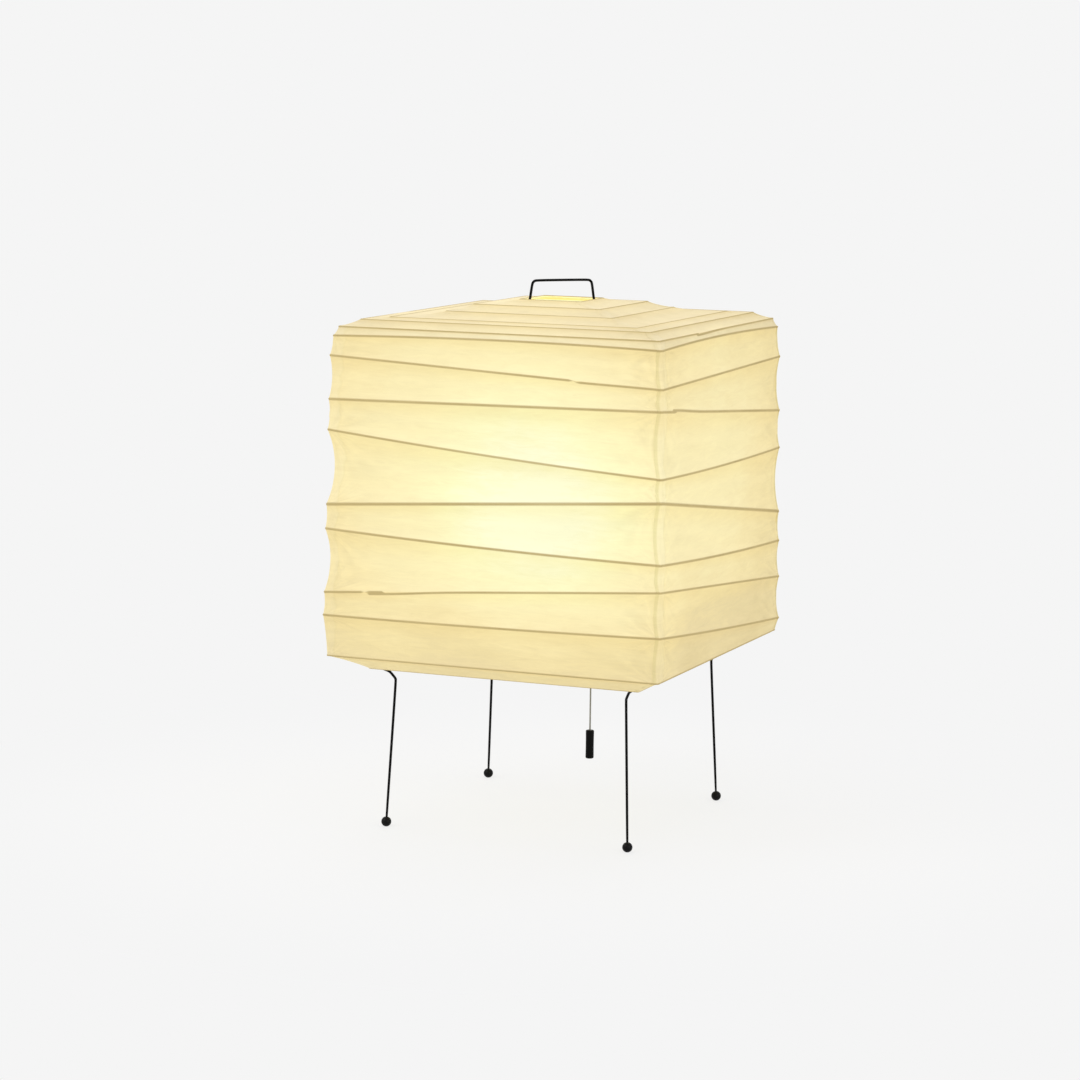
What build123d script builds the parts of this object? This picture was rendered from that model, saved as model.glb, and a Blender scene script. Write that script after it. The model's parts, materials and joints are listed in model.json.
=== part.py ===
from build123d import *
import math
import os

# Andon floor lamp: a square washi lantern over bamboo hoops, stretched between a black wire
# stand and a black wire stretcher, with a pull-switch lampholder and one bulb on the axis.
# Millimetres. The origin is on the floor under the middle of the lamp and +Z is up.
# The front is -Y. A station (s, z) is a place at half-side s from the axis and height z.

# ---------------------------------------------------------------- driving dimensions
# Lantern outline, measured over the paper
SHADE_SIDE = 440.0  # over the lowest wall hoop, the widest
TOP_HOOP_DRAW = 10.0  # how much narrower the lantern is over the highest wall hoop
SHOULDER_DRAW = 16.0  # where the walls turn into the roof
EDGE_DRAW = 8.0  # where the walls turn into the skirt
MOUTH_DRAW = 86.0  # at the open bottom
RIM_SIDE = 80.0  # the open top
WALL_HEIGHT = 392.0
ROOF_HEIGHT = 40.0
SKIRT_HEIGHT = 19.0
MOUTH_Z = 200.0  # the open bottom's height over the floor

# Paper and hoops
PAPER = 0.5
RIB = 2.4  # a bamboo strip, across its corners
RIB_GAP = 0.15  # glue line between a strip and the paper
HOOP_CORNER = 6.0  # bend radius of a strip at a corner
LAP = 28.0  # how far the two ends of a strip run side by side
CORNER_BOW = 0.075  # how far the paper pulls in between two hoops, as a share of their gap
MIDDLE_BOW = 0.035
ROOF_BOW = 0.03
BAY_STEPS = 3  # flat strips that make up the bow between two hoops
SHOULDER_LIFT = 3.0  # the shoulder rises and draws in this much at the middle of a side

# Each wall hoop hangs askew: its height at the four corners, front left, front right, back
# right and back left, as a share of the wall's height, then its sag on the front and right.
WALL_HOOPS = {
    "wall_hoop_1": ((0.939, 0.885, 0.903, 0.952), 0.0),
    "wall_hoop_2": ((0.804, 0.819, 0.727, 0.770), 0.0),
    "wall_hoop_3": ((0.709, 0.617, 0.605, 0.666), 2.5),
    "wall_hoop_4": ((0.477, 0.546, 0.395, 0.449), 0.0),
    "wall_hoop_5": ((0.401, 0.360, 0.298, 0.365), 2.5),
    "wall_hoop_6": ((0.202, 0.278, 0.179, 0.161), 0.0),
    "wall_hoop_7": ((0.130, 0.140, 0.041, 0.084), 1.5),
}
# Roof hoops from the rim down: share of the way out from the rim, share of the roof's height.
ROOF_HOOPS = {
    "roof_hoop_5": (0.25, 0.875),
    "roof_hoop_4": (0.40, 0.675),
    "roof_hoop_3": (0.70, 0.525),
    "roof_hoop_2": (0.855, 0.475),
    "roof_hoop_1": (0.971, 0.275),
}
# The side and the share along it where each strip's ends meet.
FRONT, RIGHT, BACK, LEFT = range(4)
SPLICES = {
    "rim_hoop": (BACK, 0.5),
    "roof_hoop_5": (LEFT, 0.55),
    "roof_hoop_4": (BACK, 0.45),
    "roof_hoop_3": (BACK, 0.30),
    "roof_hoop_2": (LEFT, 0.62),
    "roof_hoop_1": (RIGHT, 0.31),
    "shoulder_hoop": (BACK, 0.72),
    "wall_hoop_1": (FRONT, 0.745),
    "wall_hoop_2": (RIGHT, 0.085),
    "wall_hoop_3": (LEFT, 0.35),
    "wall_hoop_4": (BACK, 0.58),
    "wall_hoop_5": (BACK, 0.24),
    "wall_hoop_6": (FRONT, 0.153),
    "wall_hoop_7": (LEFT, 0.66),
    "edge_hoop": (BACK, 0.40),
    "mouth_hoop": (LEFT, 0.50),
}

# Stand and stretcher
WIRE = 3.2  # across the corners of its many-sided section
WIRE_SIDES = 10
BEND_STEP = 31.0  # degrees, the most that one step of a bend turns
RING_STEPS = 14  # steps round a small ring
TURN_SIDES = 24  # flats round a turned piece
BALL_SIDES = 16
WIRE_BEND = 6.0  # bend radius on the wire's centre line
FOOT_IN = 17.0  # how far the feet stand inside the mouth's edges
KNEE_IN = 25.0
KNEE_DROP = 15.0  # the knee under the mouth
JOG_IN = 19.0
JOG_DROP = 5.0
HOOK_RISE = 12.0  # the upright bit of the hook that holds the bottom hoop down
BALL = 12.5
BALL_FLAT = 4.0
FIT = 0.05  # radial clearance of a wire or nipple in its hole
HUB = 40.0
HUB_THICK = 10.0
HUB_RISE = 73.0  # from the mouth to the hub
SPOKE_SEAT = 12.0  # distance from the axis to the bottom of a spoke's hole
HANDLE_HALF = 39.5
HANDLE_FOOT_HALF = 42.6
HANDLE_RISE = 24.6  # from the lantern's top edge to the handle's top
SHOULDER_OUT = 62.0  # reach of the stretcher's shoulders under the rim
UPRIGHT_OUT = 66.0
FERRULE = 10.0
FERRULE_HEIGHT = 24.0

# Lampholder and bulb
NIPPLE = 10.0
NIPPLE_BORE = 7.0
NIPPLE_BELOW = 14.0
NUT_FLATS = 14.0
NUT_THICK = 3.0
HOLDER = 40.0
HOLDER_WALL = 2.0
CAP_BASE = 28.0  # the flat that stands on the hub
CAP_HEIGHT = 17.0
SHELL_HEIGHT = 66.0
SHELL_BEAD = 1.2
INSERT_HEIGHT = 36.0
INSERT_GAP = 0.2
WIRING_DEPTH = 8.0  # the hollow over the nipple where the wires fan out
LINER_WALL = 1.0
LINER_BELOW_RIM = 1.0
BULB_CAP = 26.0
SCREW_GAP = 0.1
SCREW_WALL = 0.4
SCREW_HEIGHT = 23.0
SCREW_FLANGE = 4.0
CONTACT_ROOM = 5.5  # between the insert's top and the tip of the bulb
CONTACT_GAP = 0.3
CONTACT_WIDTH = 6.0
CONTACT_THICK = 0.8
BULB_SIZE = 60.0
BULB_LENGTH = 105.0
BULB_CAP_HEIGHT = 26.0
BULB_WALL = 0.8
BULB_NECK_LEAN = 28.0  # degrees, where the neck's curve meets the globe
GLOBE_STEP = 25  # degrees

# Pull switch
PULL_OUT = 46.5  # the pull cord's distance from the axis
SWITCH_RAISE = 3.0  # the switch box's underside over the shell's lower end
SWITCH_WIDTH = 19.0
SWITCH_END = 9.0  # how far the switch box reaches past the pull cord
SWITCH_LID = 2.0
SWITCH_WALL = 2.5
SWITCH_ROUND = 4.0
SWITCH_SEAT = 0.2  # between the switch box and the shell
NECK_WIDTH = 12.0
NECK_HEIGHT = 18.0
NECK_RAISE = 4.0
NECK_INNER = 10.0  # the neck's inner end, from the axis
NECK_GAP = 0.1
PULL_TRAVEL = 9.0
PULL_ROD = 2.4
ROD_GAP = 0.3
ROD_HEAD = 6.4
ROD_HEAD_THICK = 2.4
HEAD_GAP = 0.6
SPRING_WIRE = 0.6
SPRING_COIL = 4.8
SPRING_TURNS = 5
COIL_STEPS = 12  # steps in one turn of the spring
BUSH = 7.0
BUSH_HEIGHT = 6.0
BUSH_NECK = 1.2  # how much the bush narrows over its flare
EYE = 7.0
EYE_DROP = 1.0  # between the bush and the eye at rest
EYE_HOLE = 2.6
EYE_THICK = 1.6
LINK_GAP = 0.2  # between eye, ring and cord where they hang in each other
RING_RADIUS = 4.5
RING_WIRE = 1.2
CORD = 2.0
KNOT_RADIUS = 2.3  # of the loop tied round the ring
KNOT = 4.6
KNOB = 10.4
KNOB_LENGTH = 36.0
KNOB_Z = 75.0
KNOB_ROUND = 1.6
KNOB_SEAT = 6.0  # how deep the cord's end goes into the knob

# ---------------------------------------------------------------- sizes and heights that follow
TOP_HOOP_SIDE = SHADE_SIDE - TOP_HOOP_DRAW
SHOULDER_SIDE = SHADE_SIDE - SHOULDER_DRAW
EDGE_SIDE = SHADE_SIDE - EDGE_DRAW
MOUTH_SIDE = SHADE_SIDE - MOUTH_DRAW
FOOT_HALF = MOUTH_SIDE / 2 - FOOT_IN
KNEE_HALF = MOUTH_SIDE / 2 - KNEE_IN
JOG_HALF = MOUTH_SIDE / 2 - JOG_IN
KNEE_Z = MOUTH_Z - KNEE_DROP
JOG_Z = MOUTH_Z - JOG_DROP
HUB_Z = MOUTH_Z + HUB_RISE
EDGE_Z = MOUTH_Z + SKIRT_HEIGHT
SHOULDER_Z = EDGE_Z + WALL_HEIGHT
RIM_Z = SHOULDER_Z + ROOF_HEIGHT
RIB_R = RIB / 2
WIRE_R = WIRE / 2
BALL_R = BALL / 2
BALL_Z = math.sqrt(BALL_R**2 - (BALL_FLAT / 2) ** 2)
HUB_TOP = HUB_Z + HUB_THICK
SHELL_Z = HUB_TOP + CAP_HEIGHT
INSERT_TOP = SHELL_Z + INSERT_HEIGHT
SHELL_TOP = SHELL_Z + SHELL_HEIGHT
BULB_Z = INSERT_TOP + CONTACT_ROOM  # the tip of the bulb's cap
ROOT2 = math.sqrt(2)
SPRING_REST = 2 * PULL_TRAVEL
SWITCH_Z = SHELL_Z + SWITCH_RAISE
HEAD_Z = SWITCH_Z + SWITCH_WALL + SPRING_REST  # underside of the pull rod's head
LID_Z = HEAD_Z + ROD_HEAD_THICK + HEAD_GAP
EYE_Z = SWITCH_Z - BUSH_HEIGHT - EYE_DROP - EYE / 2
RING_TOP_Z = EYE_Z - EYE_HOLE / 2 + RING_WIRE / 2 + LINK_GAP  # where the ring swings
RING_Z = RING_TOP_Z - RING_RADIUS  # where the cord swings

CORNERS = ((-1, -1), (1, -1), (1, 1), (-1, 1))  # front left, front right, back right, back left
CORNER_NAMES = ("front_left", "front_right", "back_right", "back_left")
SIDE_NAMES = ("front", "right", "back", "left")
SIDE_OUT = ((0, -1), (1, 0), (0, 1), (-1, 0))


# ---------------------------------------------------------------- helpers
def rounded(points, radii):
    """The points of a bent line, each bend an arc in short steps, or sharp if its radius is 0."""
    points = [Vector(p) for p in points]
    path = [points[0]]
    for before, corner, after, radius in zip(points, points[1:-1], points[2:], radii):
        if radius == 0:
            path.append(corner)
            continue
        back = (before - corner).normalized()
        on = (after - corner).normalized()
        turn = 180 - back.get_angle(on)
        half = math.radians(turn / 2)
        centre = corner + (back + on).normalized() * radius / math.cos(half)
        first = corner + back * radius * math.tan(half) - centre
        across = back.cross(on).normalized().cross(first)
        steps = math.ceil(turn / BEND_STEP - 0.01)
        for k in range(steps + 1):
            angle = math.radians(turn * k / steps)
            path.append(centre + first * math.cos(angle) - across * math.sin(angle))
    path.append(points[-1])
    return path


def bar(path, diameter, sides):
    """A bar of regular section along a line of points, mitred at each of them."""
    runs = [(b - a).normalized() for a, b in zip(path, path[1:])]
    start = Plane(origin=path[0], z_dir=runs[0])
    ring = [start.from_local_coords(p) for p in regular(diameter / 2, sides)]
    faces = [flat(ring)]
    for i, run in enumerate(runs):
        mitre = (run + runs[min(i + 1, len(runs) - 1)]).normalized()
        reach = mitre.dot(run)
        ahead = [p + run * ((path[i + 1] - p).dot(mitre) / reach) for p in ring]
        faces += skin(ring, ahead)
        ring = ahead
    return Solid(Shell([*faces, flat(ring)]))


def regular(radius, sides):
    """The corners of a regular polygon."""
    angles = [2 * math.pi * k / sides for k in range(sides)]
    return [Vector(radius * math.cos(a), radius * math.sin(a), 0) for a in angles]


def flat(points):
    return Face(Wire.make_polygon(points))


def skin(ring, ahead):
    """The flat faces between two matching rings of points."""
    return [flat([ring[k], ring[j], ahead[j], ahead[k]]) for k, j in pairs(ring)]


def pairs(ring):
    """The positions of neighbours round a ring."""
    return [(k, (k + 1) % len(ring)) for k in range(len(ring))]


def ring_of_wire(centre, normal, radius, diameter):
    """A closed ring of wire with a six-sided section."""
    plane = Plane(origin=centre, z_dir=normal)
    rings = []
    for out in regular(1, RING_STEPS):
        section = [Vector(0, 0, p.Y) + out * (radius + p.X) for p in regular(diameter / 2, 6)]
        rings.append([plane.from_local_coords(p) for p in section])
    faces = []
    for here, ahead in zip(rings, rings[1:] + rings[:1]):
        faces += skin(here, ahead)
    return Solid(Shell(faces))


def straight(start, end, diameter):
    """A round bar from one point to another."""
    start, end = Vector(start), Vector(end)
    plane = Plane(origin=start, z_dir=end - start)
    return plane * extrude(Circle(diameter / 2), (end - start).length)


def tube(outer, inner, low, high, centre=(0, 0)):
    """An upright tube between two heights; inner 0 makes a plain disc."""
    ring = Circle(outer / 2) - Circle(inner / 2) if inner else Circle(outer / 2)
    return Pos(centre[0], centre[1], low) * extrude(ring, high - low)


def block(low, high):
    """A box from its lowest corner to its highest."""
    size = [b - a for a, b in zip(low, high)]
    return Pos(*low) * Box(*size, align=(Align.MIN, Align.MIN, Align.MIN))


def turned(outline, sides=TURN_SIDES):
    """A many-sided solid of revolution about Z from an outline of (radius, height) points."""
    rings = []
    for out in regular(1, sides):
        rings.append([Vector(out.X * r, out.Y * r, z) for r, z in outline])
    faces = []
    for here, ahead in zip(rings, rings[1:] + rings[:1]):
        for k, j in pairs(here):
            corners = [here[k], here[j], ahead[j], ahead[k]]
            corners = [p for i, p in enumerate(corners) if (p - corners[i - 1]).length > 1e-9]
            if len(corners) > 2:
                faces.append(flat(corners))
    return Part(Solid(Shell(faces)).wrapped)


def corner_point(corner, s, z):
    x, y = CORNERS[corner]
    return Vector(x * s, y * s, z)


def side_point(side, share, s, z):
    """A point on a side at a share of the way from its first corner to its second."""
    a, b = CORNERS[side], CORNERS[(side + 1) % 4]
    x, y = (a[i] + (b[i] - a[i]) * share for i in range(2))
    return Vector(x * s, y * s, z)


# ---------------------------------------------------------------- lantern stations
LEVELS = ["rim_hoop", *ROOF_HOOPS, "shoulder_hoop", *WALL_HOOPS, "edge_hoop", "mouth_hoop"]
SHOULDER = LEVELS.index("shoulder_hoop")
EDGE = LEVELS.index("edge_hoop")


def level(name, corner):
    """Where the paper crosses a hoop at a corner: its half-side and height."""
    rim, shoulder = RIM_SIDE / 2, SHOULDER_SIDE / 2
    if name in ROOF_HOOPS:
        out, up = ROOF_HOOPS[name]
        return rim + (shoulder - rim) * out, SHOULDER_Z + ROOF_HEIGHT * up
    if name in WALL_HOOPS:
        rank = list(WALL_HOOPS).index(name) / (len(WALL_HOOPS) - 1)
        half = (TOP_HOOP_SIDE + (SHADE_SIDE - TOP_HOOP_SIDE) * rank) / 2
        return half, EDGE_Z + WALL_HEIGHT * WALL_HOOPS[name][0][corner]
    fixed = {
        "rim_hoop": (rim, RIM_Z),
        "shoulder_hoop": (shoulder, SHOULDER_Z),
        "edge_hoop": (EDGE_SIDE / 2, EDGE_Z),
        "mouth_hoop": (MOUTH_SIDE / 2, MOUTH_Z),
    }
    return fixed[name]


def corner_station(corner):
    return [level(name, corner) for name in LEVELS]


def middle_station(side):
    """The levels halfway along a side, where the front and right hoops sag."""
    station = []
    for name in LEVELS:
        (s1, z1), (s2, z2) = level(name, side), level(name, (side + 1) % 4)
        s, z = (s1 + s2) / 2, (z1 + z2) / 2
        if side in (FRONT, RIGHT):
            if name in WALL_HOOPS:
                z -= WALL_HOOPS[name][1]
            if name == "shoulder_hoop":
                s, z = s - SHOULDER_LIFT, z + SHOULDER_LIFT
        station.append((s, z))
    return station


def inward(a, b):
    """The unit normal into the lantern of the run from station a down to station b."""
    ds, dz = b[0] - a[0], b[1] - a[1]
    length = math.hypot(ds, dz)
    return (dz / length, -ds / length)


def bow_share(index, at_corner):
    if index < SHOULDER:
        return ROOF_BOW
    if index >= EDGE:
        return MIDDLE_BOW / 2
    return CORNER_BOW if at_corner else MIDDLE_BOW


def paper_profile(station, first, last, at_corner):
    """The closed outline of the paper between two levels at a station: out, then in."""
    runs = list(zip(station, station[1:]))
    normals = [inward(a, b) for a, b in runs]
    outer, inner = [], []
    for i in range(first, last + 1):
        s, z = station[i]
        n1 = normals[max(i - 1, 0)]
        n2 = normals[min(i, len(normals) - 1)]
        mitre = PAPER / (1 + n1[0] * n2[0] + n1[1] * n2[1])
        outer.append((s, z))
        inner.append((s + (n1[0] + n2[0]) * mitre, z + (n1[1] + n2[1]) * mitre))
        if i == last:
            break
        (s2, z2), n = station[i + 1], normals[i]
        deepest = bow_share(i, at_corner) * math.dist(station[i], station[i + 1])
        for k in range(1, BAY_STEPS):
            t = k / BAY_STEPS
            depth = deepest * 4 * t * (1 - t)
            middle = (s + (s2 - s) * t, z + (z2 - z) * t)
            outer.append(tuple(middle[j] + n[j] * depth for j in range(2)))
            inner.append(tuple(middle[j] + n[j] * (depth + PAPER) for j in range(2)))
    return outer + inner[::-1]


def paper_panel(side, first, last):
    """One side's paper between two levels, mitred at the corners and skinned in triangles."""
    a, b = side, (side + 1) % 4
    loops = [
        [corner_point(a, *p) for p in paper_profile(corner_station(a), first, last, True)],
        [side_point(side, 0.5, *p) for p in paper_profile(middle_station(side), first, last, False)],
        [corner_point(b, *p) for p in paper_profile(corner_station(b), first, last, True)],
    ]
    faces = [flat(loops[0]), flat(loops[-1])]
    outer_points = len(loops[0]) // 2
    for here, ahead in zip(loops, loops[1:]):
        for k, j in pairs(here):
            if k >= outer_points:
                k, j = j, k  # so that both skins, and panels that meet, share their diagonals
            faces += [flat([here[k], here[j], ahead[j]]), flat([here[k], ahead[j], ahead[k]])]
    return Solid(Shell(faces))


def hoop_frame(station, index, at_corner):
    """A hoop's centre at a station, the direction in, and the way up beside the paper there."""
    runs = list(zip(station, station[1:]))
    before, after = max(index - 1, 0), min(index, len(runs) - 1)
    n1, n2 = inward(*runs[before]), inward(*runs[after])
    length = math.hypot(n1[0] + n2[0], n1[1] + n2[1])
    n = ((n1[0] + n2[0]) / length, (n1[1] + n2[1]) / length)
    slope = math.atan(4 * max(bow_share(before, at_corner), bow_share(after, at_corner)))
    half_turn = math.acos(min(1.0, n1[0] * n2[0] + n1[1] * n2[1])) / 2
    lean = half_turn + slope  # of the paper's inner face away from the hoop
    off = PAPER / math.cos(half_turn) + (RIB_R + RIB_GAP) / math.cos(lean)
    s, z = station[index]
    up = tuple(n[i] * math.sin(lean) + (n[1], -n[0])[i] * math.cos(lean) for i in range(2))
    return (s + n[0] * off, z + n[1] * off), n, up


def mitred_centre(index):
    """A hoop's centre at each corner, in the corner's own station."""
    return [hoop_frame(corner_station(c), index, True)[0] for c in range(4)]


def straight_z(name, side):
    """Where a hoop that ran straight along a side would be at its middle."""
    return (level(name, side)[1] + level(name, (side + 1) % 4)[1]) / 2


def hoop(name):
    """A bamboo strip bent round the four corners, its ends side by side at the splice."""
    index = LEVELS.index(name)
    side, share = SPLICES[name]
    corners = mitred_centre(index)
    vertices, radii = [], []
    for k in range(4):
        c = (side + 1 + k) % 4
        vertices.append(corner_point(c, *corners[c]))
        radii.append(HOOP_CORNER)
        if k == 3:
            break
        if abs(middle_station(c)[index][1] - straight_z(name, c)) > FIT:
            vertices.append(side_point(c, 0.5, *hoop_frame(middle_station(c), index, False)[0]))
            radii.append(0)
    (sa, za), (sb, zb) = corners[side], corners[(side + 1) % 4]
    up = hoop_frame(corner_station(side), index, True)[2]
    out = Vector(*SIDE_OUT[side])

    def on_side(u, beside):
        """A point on the side's strip, or next to it in the plane of the paper."""
        strip = side_point(side, u, sa + (sb - sa) * u, za + (zb - za) * u)
        return strip + out * up[0] * beside + Vector(0, 0, up[1] * beside)

    half_lap = LAP / (4 * sa)
    lead = (RIB * 2) / (2 * sa)
    beside = RIB + RIB_GAP
    rise, end = on_side(share - half_lap - lead, beside), on_side(share + half_lap, beside)
    path = [on_side(share - half_lap, 0), *vertices, rise, end]
    return bar(rounded(path, [*radii, 0]), RIB, 4)


# ---------------------------------------------------------------- stand
def hook_half():
    """Half-side of the stand's hooks, which reach over the bottom hoop's corners."""
    return mitred_centre(LEVELS.index("mouth_hoop"))[0][0] + RIB_R


def hook_z():
    """Height of a hook's lower bend: its wire passes just over the bottom hoop's corner."""
    s, z = mitred_centre(LEVELS.index("mouth_hoop"))[0]
    out = s * ROOT2 - HOOP_CORNER * (ROOT2 - 1) - JOG_HALF * ROOT2
    up = z - JOG_Z
    clear = RIB_R + WIRE_R + RIB_GAP
    rise = math.atan2(up, out) + math.asin(clear / math.hypot(up, out))
    return JOG_Z + (hook_half() - JOG_HALF) * ROOT2 * math.tan(rise)


def spoke_ends(corner):
    """The straight spoke from the top of the hook down into the hub's blind hole."""
    rise = corner_point(corner, hook_half(), hook_z() + HOOK_RISE)
    seat = corner_point(corner, SPOKE_SEAT / ROOT2, HUB_Z + HUB_THICK / 2)
    return rise, seat


def leg_wire(corner):
    rise, seat = spoke_ends(corner)
    points = [
        corner_point(corner, FOOT_HALF, BALL_Z),
        corner_point(corner, KNEE_HALF, KNEE_Z),
        corner_point(corner, JOG_HALF, JOG_Z),
        corner_point(corner, hook_half(), hook_z()),
        rise,
        seat,
    ]
    radii = [WIRE_BEND, WIRE_BEND, WIRE_BEND * 0.75, WIRE_BEND * 0.75]
    return bar(rounded(points, radii), WIRE, WIRE_SIDES)


def ball_foot(corner):
    """A ball with a flat to stand on and a blind hole for the leg."""
    x, y, z = corner_point(corner, FOOT_HALF, BALL_Z)
    rings = [math.radians(angle) for angle in range(-60, 61, 30)]
    outline = [(BALL_R * math.cos(a), BALL_R * math.sin(a)) for a in rings]
    outline = [(0, -BALL_Z), (BALL_FLAT / 2, -BALL_Z), *outline, (0, BALL_R)]
    ball = Pos(x, y, z) * turned(outline, BALL_SIDES)
    centre, knee = Vector(x, y, z), corner_point(corner, KNEE_HALF, KNEE_Z)
    return ball - straight(centre, centre + (knee - centre).normalized() * BALL, WIRE + 2 * FIT)


def hub_disc():
    """The disc that carries the lampholder, with a hole for the nipple and one for each spoke."""
    rim, ease = HUB / 2, HUB_THICK / 10
    side = [(rim - ease, HUB_Z), (rim, HUB_Z + ease), (rim, HUB_TOP - ease), (rim - ease, HUB_TOP)]
    disc = turned([(0, HUB_Z), *side, (0, HUB_TOP)])
    disc -= tube(NIPPLE + 2 * FIT, 0, HUB_Z - 1, HUB_TOP + 1)
    for corner in range(4):
        rise, seat = spoke_ends(corner)
        disc -= straight(seat, seat + (rise - seat).normalized() * HUB, WIRE + 2 * FIT)
    return disc


def spoke_z(out):
    """Height of a spoke's centre line at a distance from the axis."""
    rise, seat = spoke_ends(0)
    far, near = math.hypot(rise.X, rise.Y), math.hypot(seat.X, seat.Y)
    return seat.Z + (rise.Z - seat.Z) * (out - near) / (far - near)


def upright_z():
    """Height of the stretcher's lower ends, which stand on the spokes inside their ferrules."""
    rise = spoke_z(UPRIGHT_OUT - WIRE) - spoke_z(UPRIGHT_OUT)
    slant = math.hypot(rise, WIRE) / WIRE
    return spoke_z(UPRIGHT_OUT - WIRE_R) + WIRE_R * slant + FIT


def ferrule(corner):
    """A drilled stub that joins a spoke to the stretcher's upright."""
    rise, seat = spoke_ends(corner)
    x, y, _ = corner_point(corner, UPRIGHT_OUT / ROOT2, 0)
    middle = spoke_z(UPRIGHT_OUT)
    low = middle - FERRULE * 0.6
    high = low + FERRULE_HEIGHT
    body = tube(FERRULE, 0, low, high, (x, y))
    body -= straight(seat, rise, WIRE + 2 * FIT)
    return body - tube(WIRE + 2 * FIT, 0, middle + WIRE_R / 2, high + 1, (x, y))


def stretcher():
    """One wire: two uprights, shoulders under the rim's corners and the handle above it."""
    rim_under = mitred_centre(0)[0][1] - RIB_R - RIB_GAP
    shoulder_z = rim_under - WIRE_R
    bar_z = RIM_Z + HANDLE_RISE - WIRE_R
    half = [
        (UPRIGHT_OUT, upright_z()),
        (UPRIGHT_OUT, shoulder_z - 2 * WIRE),
        (SHOULDER_OUT, shoulder_z),
        (HANDLE_FOOT_HALF + WIRE_R, shoulder_z),
        (HANDLE_FOOT_HALF, shoulder_z + 2 * WIRE),
        (HANDLE_HALF, bar_z),
    ]
    points = [(r / ROOT2, r / ROOT2, z) for r, z in half]
    points += [(-r / ROOT2, -r / ROOT2, z) for r, z in reversed(half)]
    bends = [WIRE_BEND, WIRE_BEND * 0.8, WIRE_BEND * 0.7, WIRE_BEND, WIRE_BEND]
    return bar(rounded(points, bends + bends[::-1]), WIRE, WIRE_SIDES)


# ---------------------------------------------------------------- lampholder
def nipple():
    """The hollow stem through hub and cap that the mains lead comes in by."""
    top = HUB_TOP + CAP_HEIGHT - HOLDER_WALL
    return tube(NIPPLE, NIPPLE_BORE, HUB_Z - NIPPLE_BELOW, top)


def lock_nut(low):
    nut = Pos(0, 0, low) * extrude(RegularPolygon(NUT_FLATS / 2, 6, major_radius=False), NUT_THICK)
    return nut - tube(NIPPLE + 2 * FIT, 0, low - 1, low + NUT_THICK + 1)


def holder_cap():
    """A shallow cup that closes the lampholder's lower end."""
    rim, base, hole = HOLDER / 2, CAP_BASE / 2, NIPPLE / 2 + FIT
    low, side, high = HUB_TOP, HUB_TOP + CAP_HEIGHT / 2, HUB_TOP + CAP_HEIGHT
    wall = HOLDER_WALL
    return turned(
        [
            (hole, low),
            (base, low),
            (rim, side),
            (rim, high),
            (rim - wall, high),
            (rim - wall, side + wall / 2),
            (base - wall / 2, low + wall),
            (hole, low + wall),
        ]
    )


def neck(gap):
    """The switch box's neck, which passes through the shell into the insert."""
    low, half = SWITCH_Z + NECK_RAISE, NECK_WIDTH / 2
    return block(
        (NECK_INNER - gap, -half - gap, low - gap),
        (HOLDER / 2 + SWITCH_WALL, half + gap, low + NECK_HEIGHT + gap),
    )


def holder_shell():
    """The lampholder's barrel, with a bead round its mouth and a window for the neck."""
    inner, outer = HOLDER / 2 - HOLDER_WALL, HOLDER / 2
    low, rim = SHELL_TOP - 3 * SHELL_BEAD, HOLDER / 2 + SHELL_BEAD
    outline = [(inner, SHELL_Z), (outer, SHELL_Z), (outer, low), (rim, low + SHELL_BEAD)]
    return turned([*outline, (rim, SHELL_TOP - SHELL_BEAD / 2), (inner, SHELL_TOP)]) - neck(NECK_GAP)


def insert_radius():
    return HOLDER / 2 - HOLDER_WALL - INSERT_GAP


def hollow(outer, inner, low, high):
    """A turned sleeve."""
    return turned([(inner, low), (outer, low), (outer, high), (inner, high)])


def holder_insert():
    """The moulded block that carries the contacts and takes the switch box's neck."""
    wide, well, roof = insert_radius(), NIPPLE / 2, SHELL_Z + WIRING_DEPTH
    outline = [(0, roof), (well, roof), (well, SHELL_Z), (wide, SHELL_Z), (wide, INSERT_TOP)]
    return turned([*outline, (0, INSERT_TOP)]) - neck(NECK_GAP)


def holder_liner():
    """The board sleeve between the screw shell and the barrel."""
    wide = insert_radius()
    return hollow(wide, wide - LINER_WALL, INSERT_TOP, SHELL_TOP - LINER_BELOW_RIM)


def screw_shell():
    """The thin sleeve that the bulb's cap screws into, with a foot flange."""
    inner = BULB_CAP / 2 + SCREW_GAP
    outer = inner + SCREW_WALL
    low, step, high = INSERT_TOP, INSERT_TOP + SCREW_WALL, INSERT_TOP + SCREW_HEIGHT
    foot = [(inner, low), (outer + SCREW_FLANGE / 2, low), (outer + SCREW_FLANGE / 2, step)]
    return turned([*foot, (outer, step), (outer, high), (inner, high)])


def centre_contact():
    """A springy brass tongue under the bulb's tip."""
    half = CONTACT_THICK / 2
    high = BULB_Z - CONTACT_GAP - half
    low = INSERT_TOP + half
    span = CONTACT_WIDTH
    bend = (span * 0.7, low + CONTACT_THICK)
    line = Polyline((-span, low), (span / 2, low), bend, (0, high), (-span / 3, high))
    strip = Plane.XZ.offset(-span / 2) * make_face(offset(line, half, kind=Kind.INTERSECTION))
    return extrude(strip, span)


# ---------------------------------------------------------------- pull switch
def switch_slab(low, high):
    """The switch's outline between two heights, round at its outer end."""
    half = SWITCH_WIDTH / 2
    slab = block((HOLDER / 2 + SWITCH_SEAT, -half, low), (PULL_OUT + SWITCH_END, half, high))
    return fillet(slab.edges().filter_by(Axis.Z).group_by(Axis.X)[-1], SWITCH_ROUND)


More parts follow.
